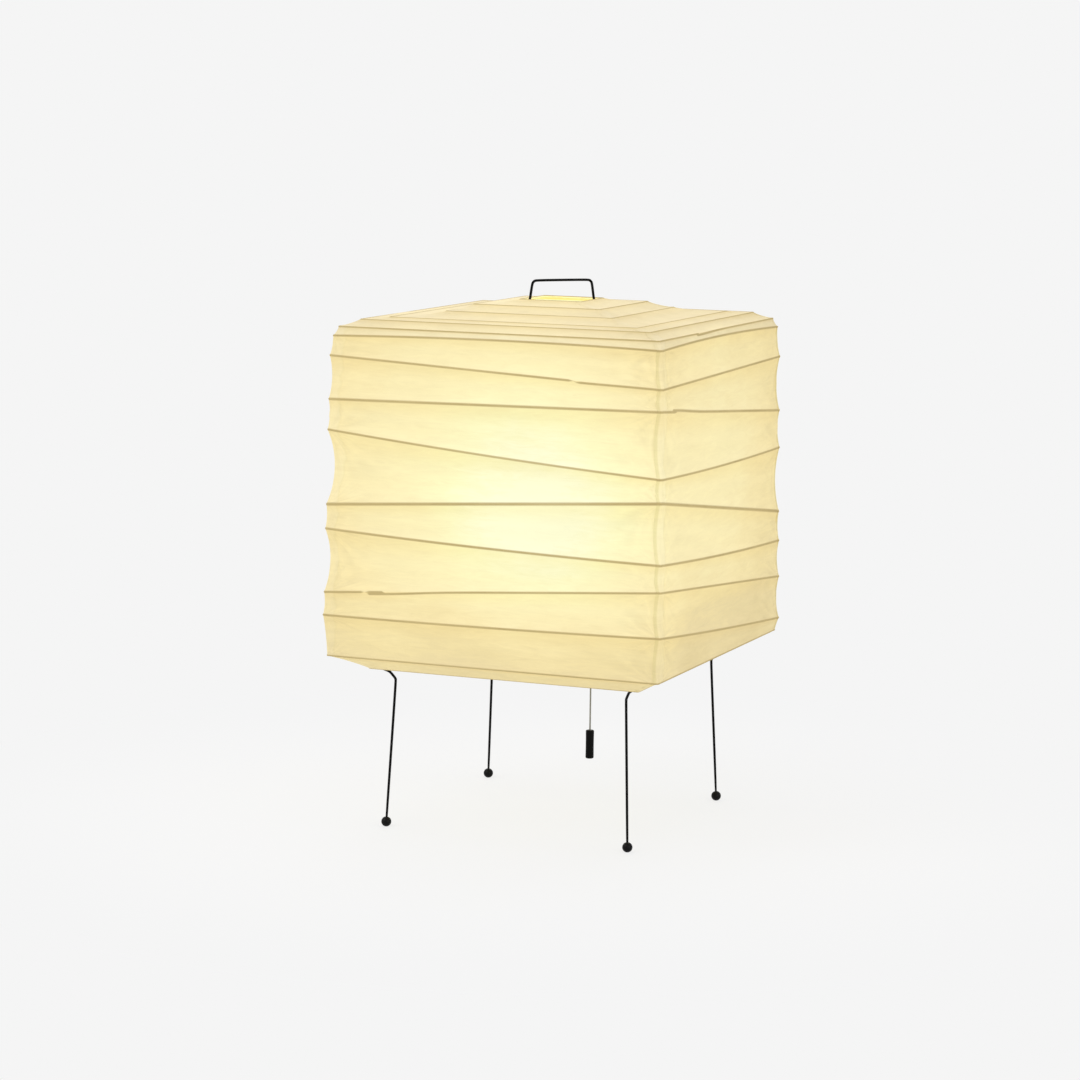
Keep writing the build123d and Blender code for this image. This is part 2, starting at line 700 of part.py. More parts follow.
def switch_box():
    """The switch's housing: a neck into the lampholder and a well for the rod and spring."""
    floor = SWITCH_Z + SWITCH_WALL
    centre = (PULL_OUT, 0)
    box = switch_slab(SWITCH_Z, LID_Z) + neck(0)
    box -= tube(ROD_HEAD + 2 * HEAD_GAP, 0, floor, LID_Z + 1, centre)
    return box - tube(PULL_ROD + 2 * ROD_GAP, 0, SWITCH_Z - 1, floor + 1, centre)


def switch_lid():
    return switch_slab(LID_Z, LID_Z + SWITCH_LID)


def guide_bush():
    """The flared brass bush that the pull rod comes out of."""
    wide, hole = BUSH / 2, PULL_ROD / 2 + ROD_GAP
    slim, low, third = wide - BUSH_NECK, SWITCH_Z - BUSH_HEIGHT, BUSH_HEIGHT / 3
    bush = turned(
        [
            (hole, SWITCH_Z),
            (wide, SWITCH_Z),
            (wide, SWITCH_Z - third),
            (slim, SWITCH_Z - 1.5 * third),
            (slim, low + 0.7 * third),
            (wide - BUSH_NECK / 3, low),
            (hole + BUSH_NECK * 0.8, low),
            (hole, low + 0.7 * third),
        ]
    )
    return Pos(PULL_OUT, 0, 0) * bush


def pull_rod():
    """The rod with a head for the spring above and a flat eye below."""
    centre = (PULL_OUT, 0)
    rod = tube(PULL_ROD, 0, EYE_Z + EYE_HOLE, HEAD_Z + 1, centre)
    rod += tube(ROD_HEAD, 0, HEAD_Z, HEAD_Z + ROD_HEAD_THICK, centre)
    eye = Plane.YZ.offset(PULL_OUT - EYE_THICK / 2) * Pos(0, EYE_Z) * Circle(EYE / 2)
    hole = Plane.YZ.offset(PULL_OUT - EYE_THICK) * Pos(0, EYE_Z) * Circle(EYE_HOLE / 2)
    return rod + extrude(eye, EYE_THICK) - extrude(hole, 2 * EYE_THICK)


def return_spring():
    """A coil round the rod between the well's floor and the head."""
    rise = SPRING_REST - SPRING_WIRE
    low = SWITCH_Z + SWITCH_WALL + SPRING_WIRE / 2
    count = SPRING_TURNS * COIL_STEPS
    path = []
    for k in range(count + 1):
        angle = 2 * math.pi * k / COIL_STEPS
        x, y = SPRING_COIL / 2 * math.cos(angle), SPRING_COIL / 2 * math.sin(angle)
        path.append(Vector(PULL_OUT + x, y, low + rise * k / count))
    return bar(path, SPRING_WIRE, 4)


# ---------------------------------------------------------------- pull cord
def cord_ring():
    """A split ring through the rod's eye."""
    return ring_of_wire((PULL_OUT, 0, RING_Z), (0, 1, 0), RING_RADIUS, RING_WIRE)


def pull_cord():
    """The cord: a loop through the ring, a knot and a straight fall into the knob."""
    loop_z = RING_Z - RING_RADIUS + RING_WIRE / 2 + LINK_GAP + CORD / 2 - KNOT_RADIUS
    loop = ring_of_wire((PULL_OUT, 0, loop_z), (1, 0, 0), KNOT_RADIUS, CORD)
    knot_z, half = loop_z - KNOT_RADIUS - CORD / 2, KNOT / 2
    outline = [(0, -half), (half * 0.7, -half * 0.7), (half, 0), (half * 0.7, half * 0.7), (0, half)]
    knot = Pos(PULL_OUT, 0, knot_z) * turned(outline)
    return loop + knot + tube(CORD, 0, KNOB_Z + KNOB_LENGTH - KNOB_SEAT, knot_z, (PULL_OUT, 0))


def pull_knob():
    """A slim turned knob with eased ends and a blind hole for the cord."""
    top, half, ease = KNOB_Z + KNOB_LENGTH, KNOB / 2, KNOB_ROUND
    outline = [(0, KNOB_Z), (half - ease, KNOB_Z), (half, KNOB_Z + ease), (half, top - ease)]
    body = Pos(PULL_OUT, 0, 0) * turned([*outline, (half - ease, top), (0, top)])
    return body - tube(CORD + 2 * FIT, 0, top - KNOB_SEAT, top + 1, (PULL_OUT, 0))


# ---------------------------------------------------------------- bulb
def bulb_cap():
    """The screw cap: centre tip, sloping insulator and sleeve."""
    wide, top = BULB_CAP / 2, BULB_Z + BULB_CAP_HEIGHT
    tip, slope = wide * 0.3, BULB_CAP_HEIGHT * 0.23
    profile = [(0, BULB_Z), (tip, BULB_Z), (wide * 0.7, BULB_Z + slope / 2)]
    return turned([*profile, (wide, BULB_Z + slope), (wide, top), (0, top)])


def pear(shrink):
    """The envelope's filled shape, its surface moved in by a wall."""
    radius = BULB_SIZE / 2 - shrink
    base, centre = BULB_Z + BULB_CAP_HEIGHT, BULB_Z + BULB_LENGTH - BULB_SIZE / 2
    throat = BULB_CAP / 2 - BULB_WALL / 2 - shrink
    globe = [math.radians(a) for a in range(-int(BULB_NECK_LEAN), 90, GLOBE_STEP)]
    outline = [(radius * math.cos(a), centre + radius * math.sin(a)) for a in globe]
    low, half = outline[0]
    outline = [(0, base), (throat, base), (throat + (low - throat) * 0.2, (base + half) / 2), *outline]
    return turned([*outline, (0, centre + radius)])


def bulb_glass():
    """The pear-shaped envelope, hollow and open into the cap."""
    return pear(0) - pear(BULB_WALL)


# ---------------------------------------------------------------- build
def main():
    os.makedirs("parts", exist_ok=True)
    pieces = {}
    for name in LEVELS:
        pieces[name] = hoop(name)
    for side, word in enumerate(SIDE_NAMES):
        pieces[f"roof_paper_{word}"] = paper_panel(side, 0, SHOULDER)
        pieces[f"wall_paper_{word}"] = paper_panel(side, SHOULDER, EDGE)
        pieces[f"skirt_paper_{word}"] = paper_panel(side, EDGE, EDGE + 1)
    for corner, word in enumerate(CORNER_NAMES):
        pieces[f"leg_wire_{word}"] = leg_wire(corner)
    pieces["ball_feet"] = Compound([ball_foot(corner) for corner in range(4)])
    pieces["hub_disc"] = hub_disc()
    pieces["ferrules"] = Compound([ferrule(0), ferrule(2)])
    pieces["stretcher"] = stretcher()
    pieces["nipple"] = nipple()
    pieces["lock_nut"] = lock_nut(HUB_Z - NUT_THICK)
    pieces["holder_cap"] = holder_cap()
    pieces["holder_shell"] = holder_shell()
    pieces["holder_insert"] = holder_insert()
    pieces["holder_liner"] = holder_liner()
    pieces["screw_shell"] = screw_shell()
    pieces["centre_contact"] = centre_contact()
    pieces["switch_box"] = switch_box()
    pieces["switch_lid"] = switch_lid()
    pieces["guide_bush"] = guide_bush()
    pieces["pull_rod"] = pull_rod()
    pieces["return_spring"] = return_spring()
    pieces["cord_ring"] = cord_ring()
    pieces["pull_cord"] = pull_cord()
    pieces["pull_knob"] = pull_knob()
    pieces["bulb_cap"] = bulb_cap()
    pieces["bulb_glass"] = bulb_glass()
    for name, piece in pieces.items():
        export_step(piece, f"parts/{name}.step")
    print(len(pieces), "nodes")


if __name__ == "__main__":
    main()
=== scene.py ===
import json
import math

import bpy
import numpy as np
from mathutils import Matrix, Vector, noise


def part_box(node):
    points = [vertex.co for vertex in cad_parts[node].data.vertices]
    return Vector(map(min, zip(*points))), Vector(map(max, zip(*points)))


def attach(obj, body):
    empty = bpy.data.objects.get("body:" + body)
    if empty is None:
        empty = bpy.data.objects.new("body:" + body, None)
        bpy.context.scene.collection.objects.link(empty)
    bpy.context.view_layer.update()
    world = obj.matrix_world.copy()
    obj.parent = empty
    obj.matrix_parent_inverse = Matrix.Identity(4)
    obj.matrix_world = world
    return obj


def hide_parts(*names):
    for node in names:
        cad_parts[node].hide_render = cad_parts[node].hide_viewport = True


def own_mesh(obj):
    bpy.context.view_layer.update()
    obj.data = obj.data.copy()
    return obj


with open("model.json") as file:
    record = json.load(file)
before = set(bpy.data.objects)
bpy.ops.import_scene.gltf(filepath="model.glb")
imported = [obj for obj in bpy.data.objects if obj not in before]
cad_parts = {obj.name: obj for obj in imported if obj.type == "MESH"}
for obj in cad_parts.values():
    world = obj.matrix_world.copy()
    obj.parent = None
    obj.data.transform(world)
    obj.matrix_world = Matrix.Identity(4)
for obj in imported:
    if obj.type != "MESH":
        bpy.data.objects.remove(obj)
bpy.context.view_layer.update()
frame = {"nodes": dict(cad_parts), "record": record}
nodes = frame["nodes"]
MM = 0.001


# ---------------------------------------------------------------- camera
AZIMUTH, ELEVATION, ROLL = (math.radians(a) for a in (22.317, 8.099, 0.795))
LENS = 113.31
DISTANCE = 4.2555
AIM = Vector((0, 0, 0.330))
SHIFT_RIGHT, SHIFT_UP = -0.022797, 0.018659
CLIP_END = 50


def make_camera():
    """The camera stands in front and to the left of the lamp, a little above it."""
    sa, ca = math.sin(AZIMUTH), math.cos(AZIMUTH)
    se, ce = math.sin(ELEVATION), math.cos(ELEVATION)
    ahead = Vector((-sa * ce, ca * ce, -se))
    level = Vector((ca, sa, 0))
    upright = level.cross(ahead)
    right = level * math.cos(ROLL) + upright * math.sin(ROLL)
    up = upright * math.cos(ROLL) - level * math.sin(ROLL)
    camera = bpy.data.objects.new("camera", bpy.data.cameras.new("camera"))
    bpy.context.scene.collection.objects.link(camera)
    camera.data.lens = LENS
    camera.data.clip_end = CLIP_END
    place = AIM - ahead * DISTANCE + right * SHIFT_RIGHT + up * SHIFT_UP
    turn = Matrix((right, up, -ahead)).transposed()
    camera.matrix_world = Matrix.Translation(place) @ turn.to_4x4()
    bpy.context.scene.camera = camera


# ---------------------------------------------------------------- node helpers
USUAL = (0.3, 0.7)  # where most of a noise's values lie


class Shader:
    """A material's node tree, built up with short calls."""

    def __init__(self, name):
        self.material = bpy.data.materials.new(name)
        self.material.use_nodes = True
        self.tree = self.material.node_tree
        self.shader = self.tree.nodes["Principled BSDF"]

    def add(self, kind, inputs=None, **settings):
        """A new node, with its inputs given by name or number."""
        node = self.tree.nodes.new("ShaderNode" + kind)
        for key, value in settings.items():
            setattr(node, key, value)
        for key, value in (inputs or {}).items():
            self.put(node.inputs[key], value)
        return node

    def put(self, socket, value):
        """Links an output to a socket, or sets the socket's own value."""
        if isinstance(value, bpy.types.NodeSocket):
            self.tree.links.new(value, socket)
        else:
            socket.default_value = value

    def set(self, **inputs):
        """Sets the surface's own inputs, whose spaces are written as underscores."""
        for key, value in inputs.items():
            self.put(self.shader.inputs[key.replace("_", " ")], value)

    def math(self, operation, *values):
        node = self.add("Math", operation=operation)
        for socket, value in zip(node.inputs, values):
            self.put(socket, value)
        return node.outputs[0]

    def product(self, *values):
        total = values[0]
        for value in values[1:]:
            total = self.math("MULTIPLY", total, value)
        return total

    def vector(self, operation, *values):
        node = self.add("VectorMath", operation=operation)
        for socket, value in zip(node.inputs, values):
            self.put(socket, value)
        return node.outputs["Value" if operation == "LENGTH" else "Vector"]

    def place(self):
        return self.add("TexCoord").outputs["Object"]

    def stretched(self, x, y, z):
        return self.add("Mapping", {"Vector": self.place(), "Scale": (x, y, z)}).outputs[0]

    def distance(self, point):
        return self.vector("LENGTH", self.vector("SUBTRACT", self.place(), point))

    def noise(self, scale, detail=4.0, roughness=0.6, vector=None, distortion=0.0):
        inputs = {"Scale": scale, "Detail": detail, "Roughness": roughness}
        inputs.update({"Vector": vector or self.place(), "Distortion": distortion})
        return self.add("TexNoise", inputs).outputs["Fac"]

    def ramp(self, value, stops):
        node = self.add("ValToRGB", {"Fac": value})
        elements = node.color_ramp.elements
        while len(elements) < len(stops):
            elements.new(0.5)
        for element, (position, colour) in zip(elements, stops):
            element.position = position
            element.color = (*colour, 1)
        return node.outputs["Color"]

    def range(self, value, spread, to=(0.0, 1.0), smooth=False):
        """A value whose spread is moved to another one, and held at its ends."""
        kind = "SMOOTHSTEP" if smooth else "LINEAR"
        numbers = {"Value": value, "From Min": spread[0], "From Max": spread[1]}
        numbers.update({"To Min": to[0], "To Max": to[1]})
        return self.add("MapRange", numbers, interpolation_type=kind).outputs[0]

    def mix(self, factor, a, b, blend="MIX"):
        node = self.add("Mix", data_type="RGBA", blend_type=blend)
        self.put(node.inputs[0], factor)
        self.put(node.inputs[6], a if isinstance(a, bpy.types.NodeSocket) else (*a, 1))
        self.put(node.inputs[7], b if isinstance(b, bpy.types.NodeSocket) else (*b, 1))
        return node.outputs[2]

    def tinted(self, colour, tint, share):
        """A colour multiplied by a tint, as much as the share says."""
        return self.mix(share, colour, self.mix(1.0, colour, tint, "MULTIPLY"))

    def bump(self, height, strength, distance):
        inputs = {"Height": height, "Strength": strength, "Distance": distance}
        return self.add("Bump", inputs).outputs["Normal"]


def linear(red, green, blue):
    """A colour given in 0 to 255 as a display shows it, in scene values."""
    return tuple(((c / 255 + 0.055) / 1.055) ** 2.4 for c in (red, green, blue))


# ---------------------------------------------------------------- sizes of the shade
RIM_SIDE, SHADE_SIDE = 80 * MM, 440 * MM
TOP_HOOP_SIDE, SHOULDER_SIDE = 430 * MM, 424 * MM
EDGE_SIDE, MOUTH_SIDE = 432 * MM, 354 * MM
MOUTH_Z, EDGE_Z, SHOULDER_Z, RIM_Z = 200 * MM, 219 * MM, 611 * MM, 651 * MM
SHOULDER_LIFT = 3 * MM  # how far the shoulder hoop arches up and in at the middle of a side
FRONT, RIGHT, BACK, LEFT = range(4)
SIDES = ("front", "right", "back", "left")
# Roof hoops: share of the way out from the rim, share of the roof's height.
ROOF_HOOPS = ((0.25, 0.875), (0.40, 0.675), (0.70, 0.525), (0.855, 0.475), (0.971, 0.275))
# Wall hoops: heights at the corners front left, front right, back right, back left as shares
# of the wall's height, and the sag on the front and right in millimetres.
WALL_HOOPS = (
    ((0.939, 0.885, 0.903, 0.952), 0.0),
    ((0.804, 0.819, 0.727, 0.770), 0.0),
    ((0.709, 0.617, 0.605, 0.666), 2.5),
    ((0.477, 0.546, 0.395, 0.449), 0.0),
    ((0.401, 0.360, 0.298, 0.365), 2.5),
    ((0.202, 0.278, 0.179, 0.161), 0.0),
    ((0.130, 0.140, 0.041, 0.084), 1.5),
)
RIM, SHOULDER, EDGE, MOUTH = 0, 6, 14, 15  # the hoops' levels, from the top down
# Level and side of each place where a hoop's ends meet and it shows: the share along the side,
# how far the ends lap (less than nothing where they leave a gap) and the step between them.
SPLICES = {
    (5, RIGHT): (0.31, 6 * MM, 2.0 * MM),
    (7, FRONT): (0.745, -7 * MM, 1.4 * MM),
    (8, RIGHT): (0.085, 10 * MM, -1.6 * MM),
    (12, FRONT): (0.153, 22 * MM, 2.4 * MM),
    (6, BACK): (0.72, 12 * MM, 2.0 * MM),
    (9, LEFT): (0.35, -5 * MM, 1.5 * MM),
    (10, BACK): (0.58, 8 * MM, 2.2 * MM),
    (11, BACK): (0.24, 18 * MM, 2.2 * MM),
    (13, LEFT): (0.66, 9 * MM, 2.0 * MM),
    (4, LEFT): (0.62, 5 * MM, 1.8 * MM),
    (3, BACK): (0.30, -4 * MM, 1.5 * MM),
}
BOLD_HOOPS = {8: 1.18, 10: 1.42, 11: 1.1}  # hoops bent from a wider strip, by their level
LONG_LAP = 15 * MM
SCRAP, SCRAP_FADE = 4 * MM, 1.5 * MM  # the paper scrap that half hides a hoop beside a long lap
SPLICE_RUN = 60 * MM  # how soon a hoop comes back to its own line beside a splice
TAB = 14 * MM  # how far a panel's glued edge runs on under the next
LAP_OVER = 4.4 * MM  # how far a panel laps round its corner onto the one before
# What is known of each point of the paper: its distance from a hoop's line, its share of the
# way down a bay, its distance round from the corner, its distance from the lapped edge, how far
# a fold stands out there, and its direction and distance from the nearest hoop's corner.
FACTS = ("rib", "fall", "lap", "edge", "crease", "ray", "far")


# ---------------------------------------------------------------- paper's light and colour
GLOW = (-20 * MM, -18 * MM, 455 * MM)  # the middle of the light inside the lantern
GLOW_REACH, GLOW_FALL = 190 * MM, 3.0  # how far the full light goes, how fast it fades beyond
HOT_SPOT = (69 * MM, -220 * MM, 422 * MM)  # where the bulb shows through the front
HOT_SHARE, HOT_SIZE = 2.4, 110 * MM
GLOW_FULL = 2.6  # the light at the end of the scale below
# The paper's colours from the least light to the most: light, then what the eye sees.
PAPER_TONES = (
    (0.06, (224, 205, 152)),
    (0.13, (233, 215, 163)),
    (0.20, (240, 222, 166)),
    (0.30, (246, 229, 173)),
    (0.45, (249, 235, 181)),
    (0.75, (252, 240, 186)),
    (1.05, (253, 244, 190)),
    (1.55, (253, 249, 196)),
    (2.50, (254, 253, 212)),
)
LOW_RISE = 25 * MM  # how far up the roof its lower edge's stronger light fades out
HOLDER_SHADE = 0.58  # the share of the light that passes the lampholder
HOLDER_MIDDLE = (25 * MM, 0, 0)  # between the lampholder and its switch box
HOLDER_SHADE_Z, HOLDER_SHADE_OUT = (286 * MM, 308 * MM), (220 * MM, 280 * MM)
# A spread is the part of a value's range over which something changes. A light, tone or share
# says what it changes to.
CLOUD_SPREAD, CLOUD_LIGHT, FIBRE_LIGHT = (0.25, 0.75), (0.80, 1.22), (0.84, 1.16)
STRAND = 0.02  # how wide a single long strand is
# painted shade under each hoop, and a painted paler band over the next one where the paper faces up to
# the light
UNDER_HOOP_SHADE, UNDER_SPREAD = (0.955, 0.90, 0.74), (0.0, 0.5)
OVER_HOOP_LIGHT, OVER_SPREAD, OVER_SHARE = (1.06, 1.06, 1.22), (0.6, 1.0), 0.35
# painted light and shade on the folds and on the fine creases
FOLD_LIGHT, CREST_LIGHT = (0.92, 1.07), (0.885, 1.08)
CREST_STRETCH, CREST_SPREAD = 1.3, (0.32, 0.68)
CREST_START, CREST_FADE = (0, 0.12), (0.2, 1)  # as shares of a crease's way from its corner
PATCH_SPREAD, PATCH_SHARE = (0.42, 0.6), (0.1, 1)
FIBRE_TONE, STRAND_TONE = (0.985, 1.015), (1, 0.985)
TAB_TONE, TAB_SHARE = (1.01, 1.05, 1.22), 0.5
TAB_WAVER, TAB_SOFT = 5 * MM, 1.5 * MM
TAB_LINE, TAB_LINE_SHARE = (0.4 * MM, 2.6 * MM), 0.26
SEAM_TONE = (0.79, 0.80, 0.64)
SEAM_SPREAD = (LAP_OVER * 0.7, LAP_OVER * 1.2)
PAPER_BODY = linear(172, 157, 122)  # the paper's own colour, without its glow
BODY_SHARE = 0.98  # of that colour that the room's light sends back
BODY_VARY = (0.97, 1.04)
FIBRE_RELIEF, GRAIN_RELIEF, STRAND_RELIEF, CREST_RELIEF = 0.7, 0.2, 0.12, 0.6
RIB_LINE, RIB_SOFT = 1.30 * MM, 0.80 * MM  # half a hoop's line through the paper, its soft edge
# a hoop's line: its colour through the paper, and the colour seen with its painted shadow
RIB_TONE, RIB_SHADOW_SEEN = linear(158, 140, 92), linear(178, 158, 108)
RIB_BODY = 0.9  # how much of its body's colour a hoop's line sends back
RIB_WORN = 0.82  # how faint the line is where the paper is thick


def bulb_light(sh, share, low_share):
    """How much of the bulb's light comes through the paper at each place."""
    light = sh.math("POWER", sh.math("DIVIDE", GLOW_REACH, sh.distance(GLOW)), GLOW_FALL)
    spot = sh.math("POWER", sh.math("DIVIDE", sh.distance(HOT_SPOT), HOT_SIZE), 2.0)
    spot = sh.product(sh.math("EXPONENT", sh.product(spot, -1.0)), HOT_SHARE)
    axes = sh.add("SeparateXYZ", {0: sh.vector("SUBTRACT", sh.place(), HOLDER_MIDDLE)}).outputs
    if low_share:
        rise = (SHOULDER_Z, SHOULDER_Z + LOW_RISE)
        share = sh.range(axes["Z"], rise, (low_share, share), smooth=True)
    light = sh.product(sh.math("ADD", light, spot), share)
    # low on the walls, the lampholder keeps some light off the middle of each side
    level = sh.add("CombineXYZ", {0: axes["X"], 1: axes["Y"]}).outputs[0]
    near = sh.range(sh.vector("LENGTH", level), HOLDER_SHADE_OUT, (1, 0), smooth=True)
    low = sh.range(axes["Z"], HOLDER_SHADE_Z, (1, 0), smooth=True)
    return sh.product(light, sh.range(sh.product(near, low), (0, 1), (1, HOLDER_SHADE)))


def lit_colour(sh, light, cast):
    """The colour that the light gives the paper, beyond what its own body sends back."""
    stops = []
    for level_of_light, tone in PAPER_TONES:
        seen = zip(linear(*tone), PAPER_BODY, cast)
        glow = [max(t - b * BODY_SHARE, 0) * c for t, b, c in seen]
        stops.append((level_of_light / GLOW_FULL, glow))
    return sh.ramp(sh.math("DIVIDE", light, GLOW_FULL), stops)


def hoop_shade(sh, glow, fall):
    """Painted shade under each hoop, where the paper is yellower, and a painted paler band over the
    next one, where the paper faces up to the light.
    """
    under = sh.range(fall, UNDER_SPREAD, (1, 0), smooth=True)
    over = sh.range(fall, OVER_SPREAD, (0, OVER_SHARE), smooth=True)
    return sh.tinted(sh.tinted(glow, UNDER_HOOP_SHADE, under), OVER_HOOP_LIGHT, over)


def crests(sh, fact):
    """The fine creases that run out from the hoops' corners, in patches, from -1 to 1."""
    way = sh.product(fact["far"], CREST_STRETCH)
    turn = sh.add("CombineXYZ", {0: fact["ray"], 1: way}).outputs[0]
    creased = sh.noise(1.0, detail=3, roughness=0.62, vector=turn, distortion=0.3)
    start = sh.range(fact["far"], CREST_START)
    near = sh.range(fact["far"], CREST_FADE, (1, 0), smooth=True)
    patches = sh.range(sh.noise(8, detail=1), PATCH_SPREAD, PATCH_SHARE)
    return sh.product(sh.range(creased, CREST_SPREAD, (-1, 1)), near, start, patches)


def glued_laps(sh, glow, fact, seam_share):
    """The laps at a corner: paler over the glued tab, with a faint line where the tab ends,
    and darker where the upper sheet laps round."""
    tab_end = sh.range(sh.noise(30, detail=2), USUAL, (TAB - TAB_WAVER, TAB + TAB_WAVER))
    beyond = sh.math("SUBTRACT", fact["lap"], tab_end)
    tab = sh.range(beyond, (-TAB_SOFT, TAB_SOFT), (TAB_SHARE, 0), smooth=True)
    line = sh.range(sh.math("ABSOLUTE", beyond), TAB_LINE, (TAB_LINE_SHARE, 0), smooth=True)
    seam = sh.range(fact["edge"], SEAM_SPREAD, (seam_share, 0), smooth=True)
    glow = sh.tinted(sh.tinted(glow, TAB_TONE, tab), SEAM_TONE, line)
    return sh.tinted(glow, SEAM_TONE, seam)


def washi(name, share, glow_share=1.0, cast=(1, 1, 1), low_share=None, seam_share=1.0):
    """Thin fibrous paper lit through by the bulb, with a painted shadow where a hoop lies behind it.
    """
    sh = Shader(name)
    fact = {n: sh.add("Attribute", attribute_name=n).outputs["Fac"] for n in FACTS}
    # the paper is thicker and thinner in clouds, with long fibres and single strands
    clouds = sh.noise(11, detail=4, roughness=0.6)
    fibres = sh.noise(26, detail=7, roughness=0.72, vector=sh.stretched(1, 1, 6.5), distortion=0.8)
    strands = sh.noise(75, detail=3, roughness=0.6, vector=sh.stretched(1, 1, 2.2), distortion=2.4)
    strand = sh.math("ABSOLUTE", sh.math("SUBTRACT", strands, 0.5))
    strand = sh.range(strand, (0, STRAND), (1, 0))
    light = bulb_light(sh, share, low_share)
    light = sh.product(light, sh.range(clouds, CLOUD_SPREAD, CLOUD_LIGHT))
    light = sh.product(light, sh.range(fibres, USUAL, FIBRE_LIGHT))
    glow = hoop_shade(sh, lit_colour(sh, light, cast), fact["fall"])
    # painted light and shade on the folds and creases, with the fibres' own tone
    crest = crests(sh, fact)
    fold = sh.product(
        sh.range(fact["crease"], (-1, 1), FOLD_LIGHT),
        sh.range(crest, (-1, 1), CREST_LIGHT),
        sh.range(fibres, USUAL, FIBRE_TONE),
        sh.range(strand, (0, 1), STRAND_TONE),
    )
    grey = sh.add("CombineColor", {0: fold, 1: fold, 2: fold}).outputs[0]
    glow = sh.mix(1.0, glow, grey, "MULTIPLY")
    glow = glued_laps(sh, glow, fact, seam_share)
    # the hoop's line: the hoop seen through the paper, with its painted shadow on the glow
    spread = (RIB_LINE - RIB_SOFT, RIB_LINE + RIB_SOFT)
    line = sh.range(fact["rib"], spread, (1, 0), smooth=True)
    line = sh.product(line, sh.range(clouds, USUAL, (RIB_WORN, 1.0)))
    lit = [max(t - b * RIB_BODY * BODY_SHARE, 0) for t, b in zip(RIB_SHADOW_SEEN, RIB_TONE)]
    glow = sh.mix(line, glow, lit)
    low, high = ([c * s for c in PAPER_BODY] for s in BODY_VARY)
    body = sh.mix(line, sh.mix(sh.range(fibres, USUAL), low, high), RIB_TONE)
    grain = sh.noise(420, detail=5, roughness=0.75)
    height = sh.product(fibres, FIBRE_RELIEF)
    for relief, depth in ((grain, GRAIN_RELIEF), (strand, STRAND_RELIEF), (crest, CREST_RELIEF)):
        height = sh.math("ADD", height, sh.product(relief, depth))
    sh.set(Base_Color=body, Roughness=0.85, Normal=sh.bump(height, 0.4, 0.5 * MM))
    sh.set(Emission_Color=glow, Emission_Strength=glow_share, Specular_IOR_Level=0.25)
    return sh.material


# ---------------------------------------------------------------- paper's shape
RIB_BEND, CORNER_BEND = 2.4 * MM, 3.8 * MM  # a corner's roundness at a hoop and between two
PAPER = 0.4 * MM
ROOF_BOW, SKIRT_BOW = 0.035, 0.02  # how deep the paper pulls in, as a share of a bay's height
CORNER_BOW = (0.074, 0.052, 0.046, 0.060)  # the same by the walls' corners, from front left round
MIDDLE_BOW = 0.045  # and at the most along the middle of a wall
BOW_GROWTH = 0.8  # how much that share grows with each metre of a bay's height
LOWEST_BOW = 0.15  # the share of that in the walls' lowest bay
CORNER_SHARE = 0.3  # the share of a side along which the corner's bow fades into the middle's
BOW_POWER = 2.1
HALF_ROWS, ROW_POWER = 10, 1.7
LAP_STEPS = 5
# A lap's width as shares of LAP_OVER: at a hoop, what a bay's middle adds and what wavers.
LAP_WIDTH, LAP_BULGE, LAP_WAVER = 0.88, 0.12, 0.16
UNDER = 0.45 * MM  # how far a panel's end lies under the next panel
TUCK_RUN = 14 * MM  # how far from its end a panel starts to dip under
SKIN = 0.15 * MM  # the room between a lap and the panel under it
PROUD, PROUD_RUN = 0.45 * MM, 1.2 * MM  # how far the paper rides up over a hoop, and how widely
CREASE_DEPTH, CREASE_CALM = 0.8 * MM, 5 * MM  # a fold's depth, and how far off a hoop it is full
AT_CORNER = 0.15  # the share of a fold's depth that is left round a corner
FAR_OFF = 1.0  # stands for farther than any tab reaches
NEAR_CORNER = (0, 1.5, 3, 5, 7.5, 10, 13, 16, 19, 22, 26, 30, 34, 38, 43, 48, 54, 60)
OFF_CORNER, MIDDLE_COLUMNS = 66, 58  # NEAR_CORNER and this are millimetres on a full side
RAYS = 9.0  # how closely the creases fan out from a hoop's corners
RAY_REACH = 75 * MM
FAN_END, FAN_REACH = 2.2, (0.8, 48 * MM)  # reach: share of a bay's height, and the most it is
FAN_TURNS, FAN_LENGTHS, FAN_LAYERS = 3.4, 0.9, 1.7
FAN_EDGE, FAN_DEPTH = 4.2, 0.9
# Streaks and slow folds: waves per metre along and down the paper, the share of the seed that
# moves each, the noise's layer and the depth.
STREAKS = ((9, 75, 1, 0, 1.3, 0.55), (26, 190, 0, 1, 7.9, 0.25), (6, 14, 0, 1, 4.1, 0.5))
FOLD_MOST = 1.2
# Seeds, which only tell the noise of one bay, side, end or half of a bay from another's.
BAY_SEED, SIDE_SEED = 17.3, 5.9
END_SEED, END_SHARE_SEED = 2.7, 3.1
UPPER_FANS, LOWER_FANS = ((0.5, 2.2), 0), ((9.5, 8.2), 11)
RAY_BAY, RAY_SIDE, RAY_END, RAY_LOWER = 7.3, 2.9, 13.1, 31.7
WAVER_SIDE, WAVER_WAVES, WAVER_LAYER = 3.7, 22, 3.1


def level(index, corner):
    """Half-side and height of the paper's ridge over a hoop at a corner."""
    rim, shoulder = RIM_SIDE / 2, SHOULDER_SIDE / 2
    if index == RIM:
        return rim, RIM_Z
    if index < SHOULDER:
        out, up = ROOF_HOOPS[index - 1]
        return rim + (shoulder - rim) * out, SHOULDER_Z + (RIM_Z - SHOULDER_Z) * up
    if index == SHOULDER:
        return shoulder, SHOULDER_Z
    if index < EDGE:
        rank = (index - SHOULDER - 1) / (len(WALL_HOOPS) - 1)
        half = (TOP_HOOP_SIDE + (SHADE_SIDE - TOP_HOOP_SIDE) * rank) / 2
        share = WALL_HOOPS[index - SHOULDER - 1][0][corner]
        return half, EDGE_Z + (SHOULDER_Z - EDGE_Z) * share
    return (EDGE_SIDE / 2, EDGE_Z) if index == EDGE else (MOUTH_SIDE / 2, MOUTH_Z)


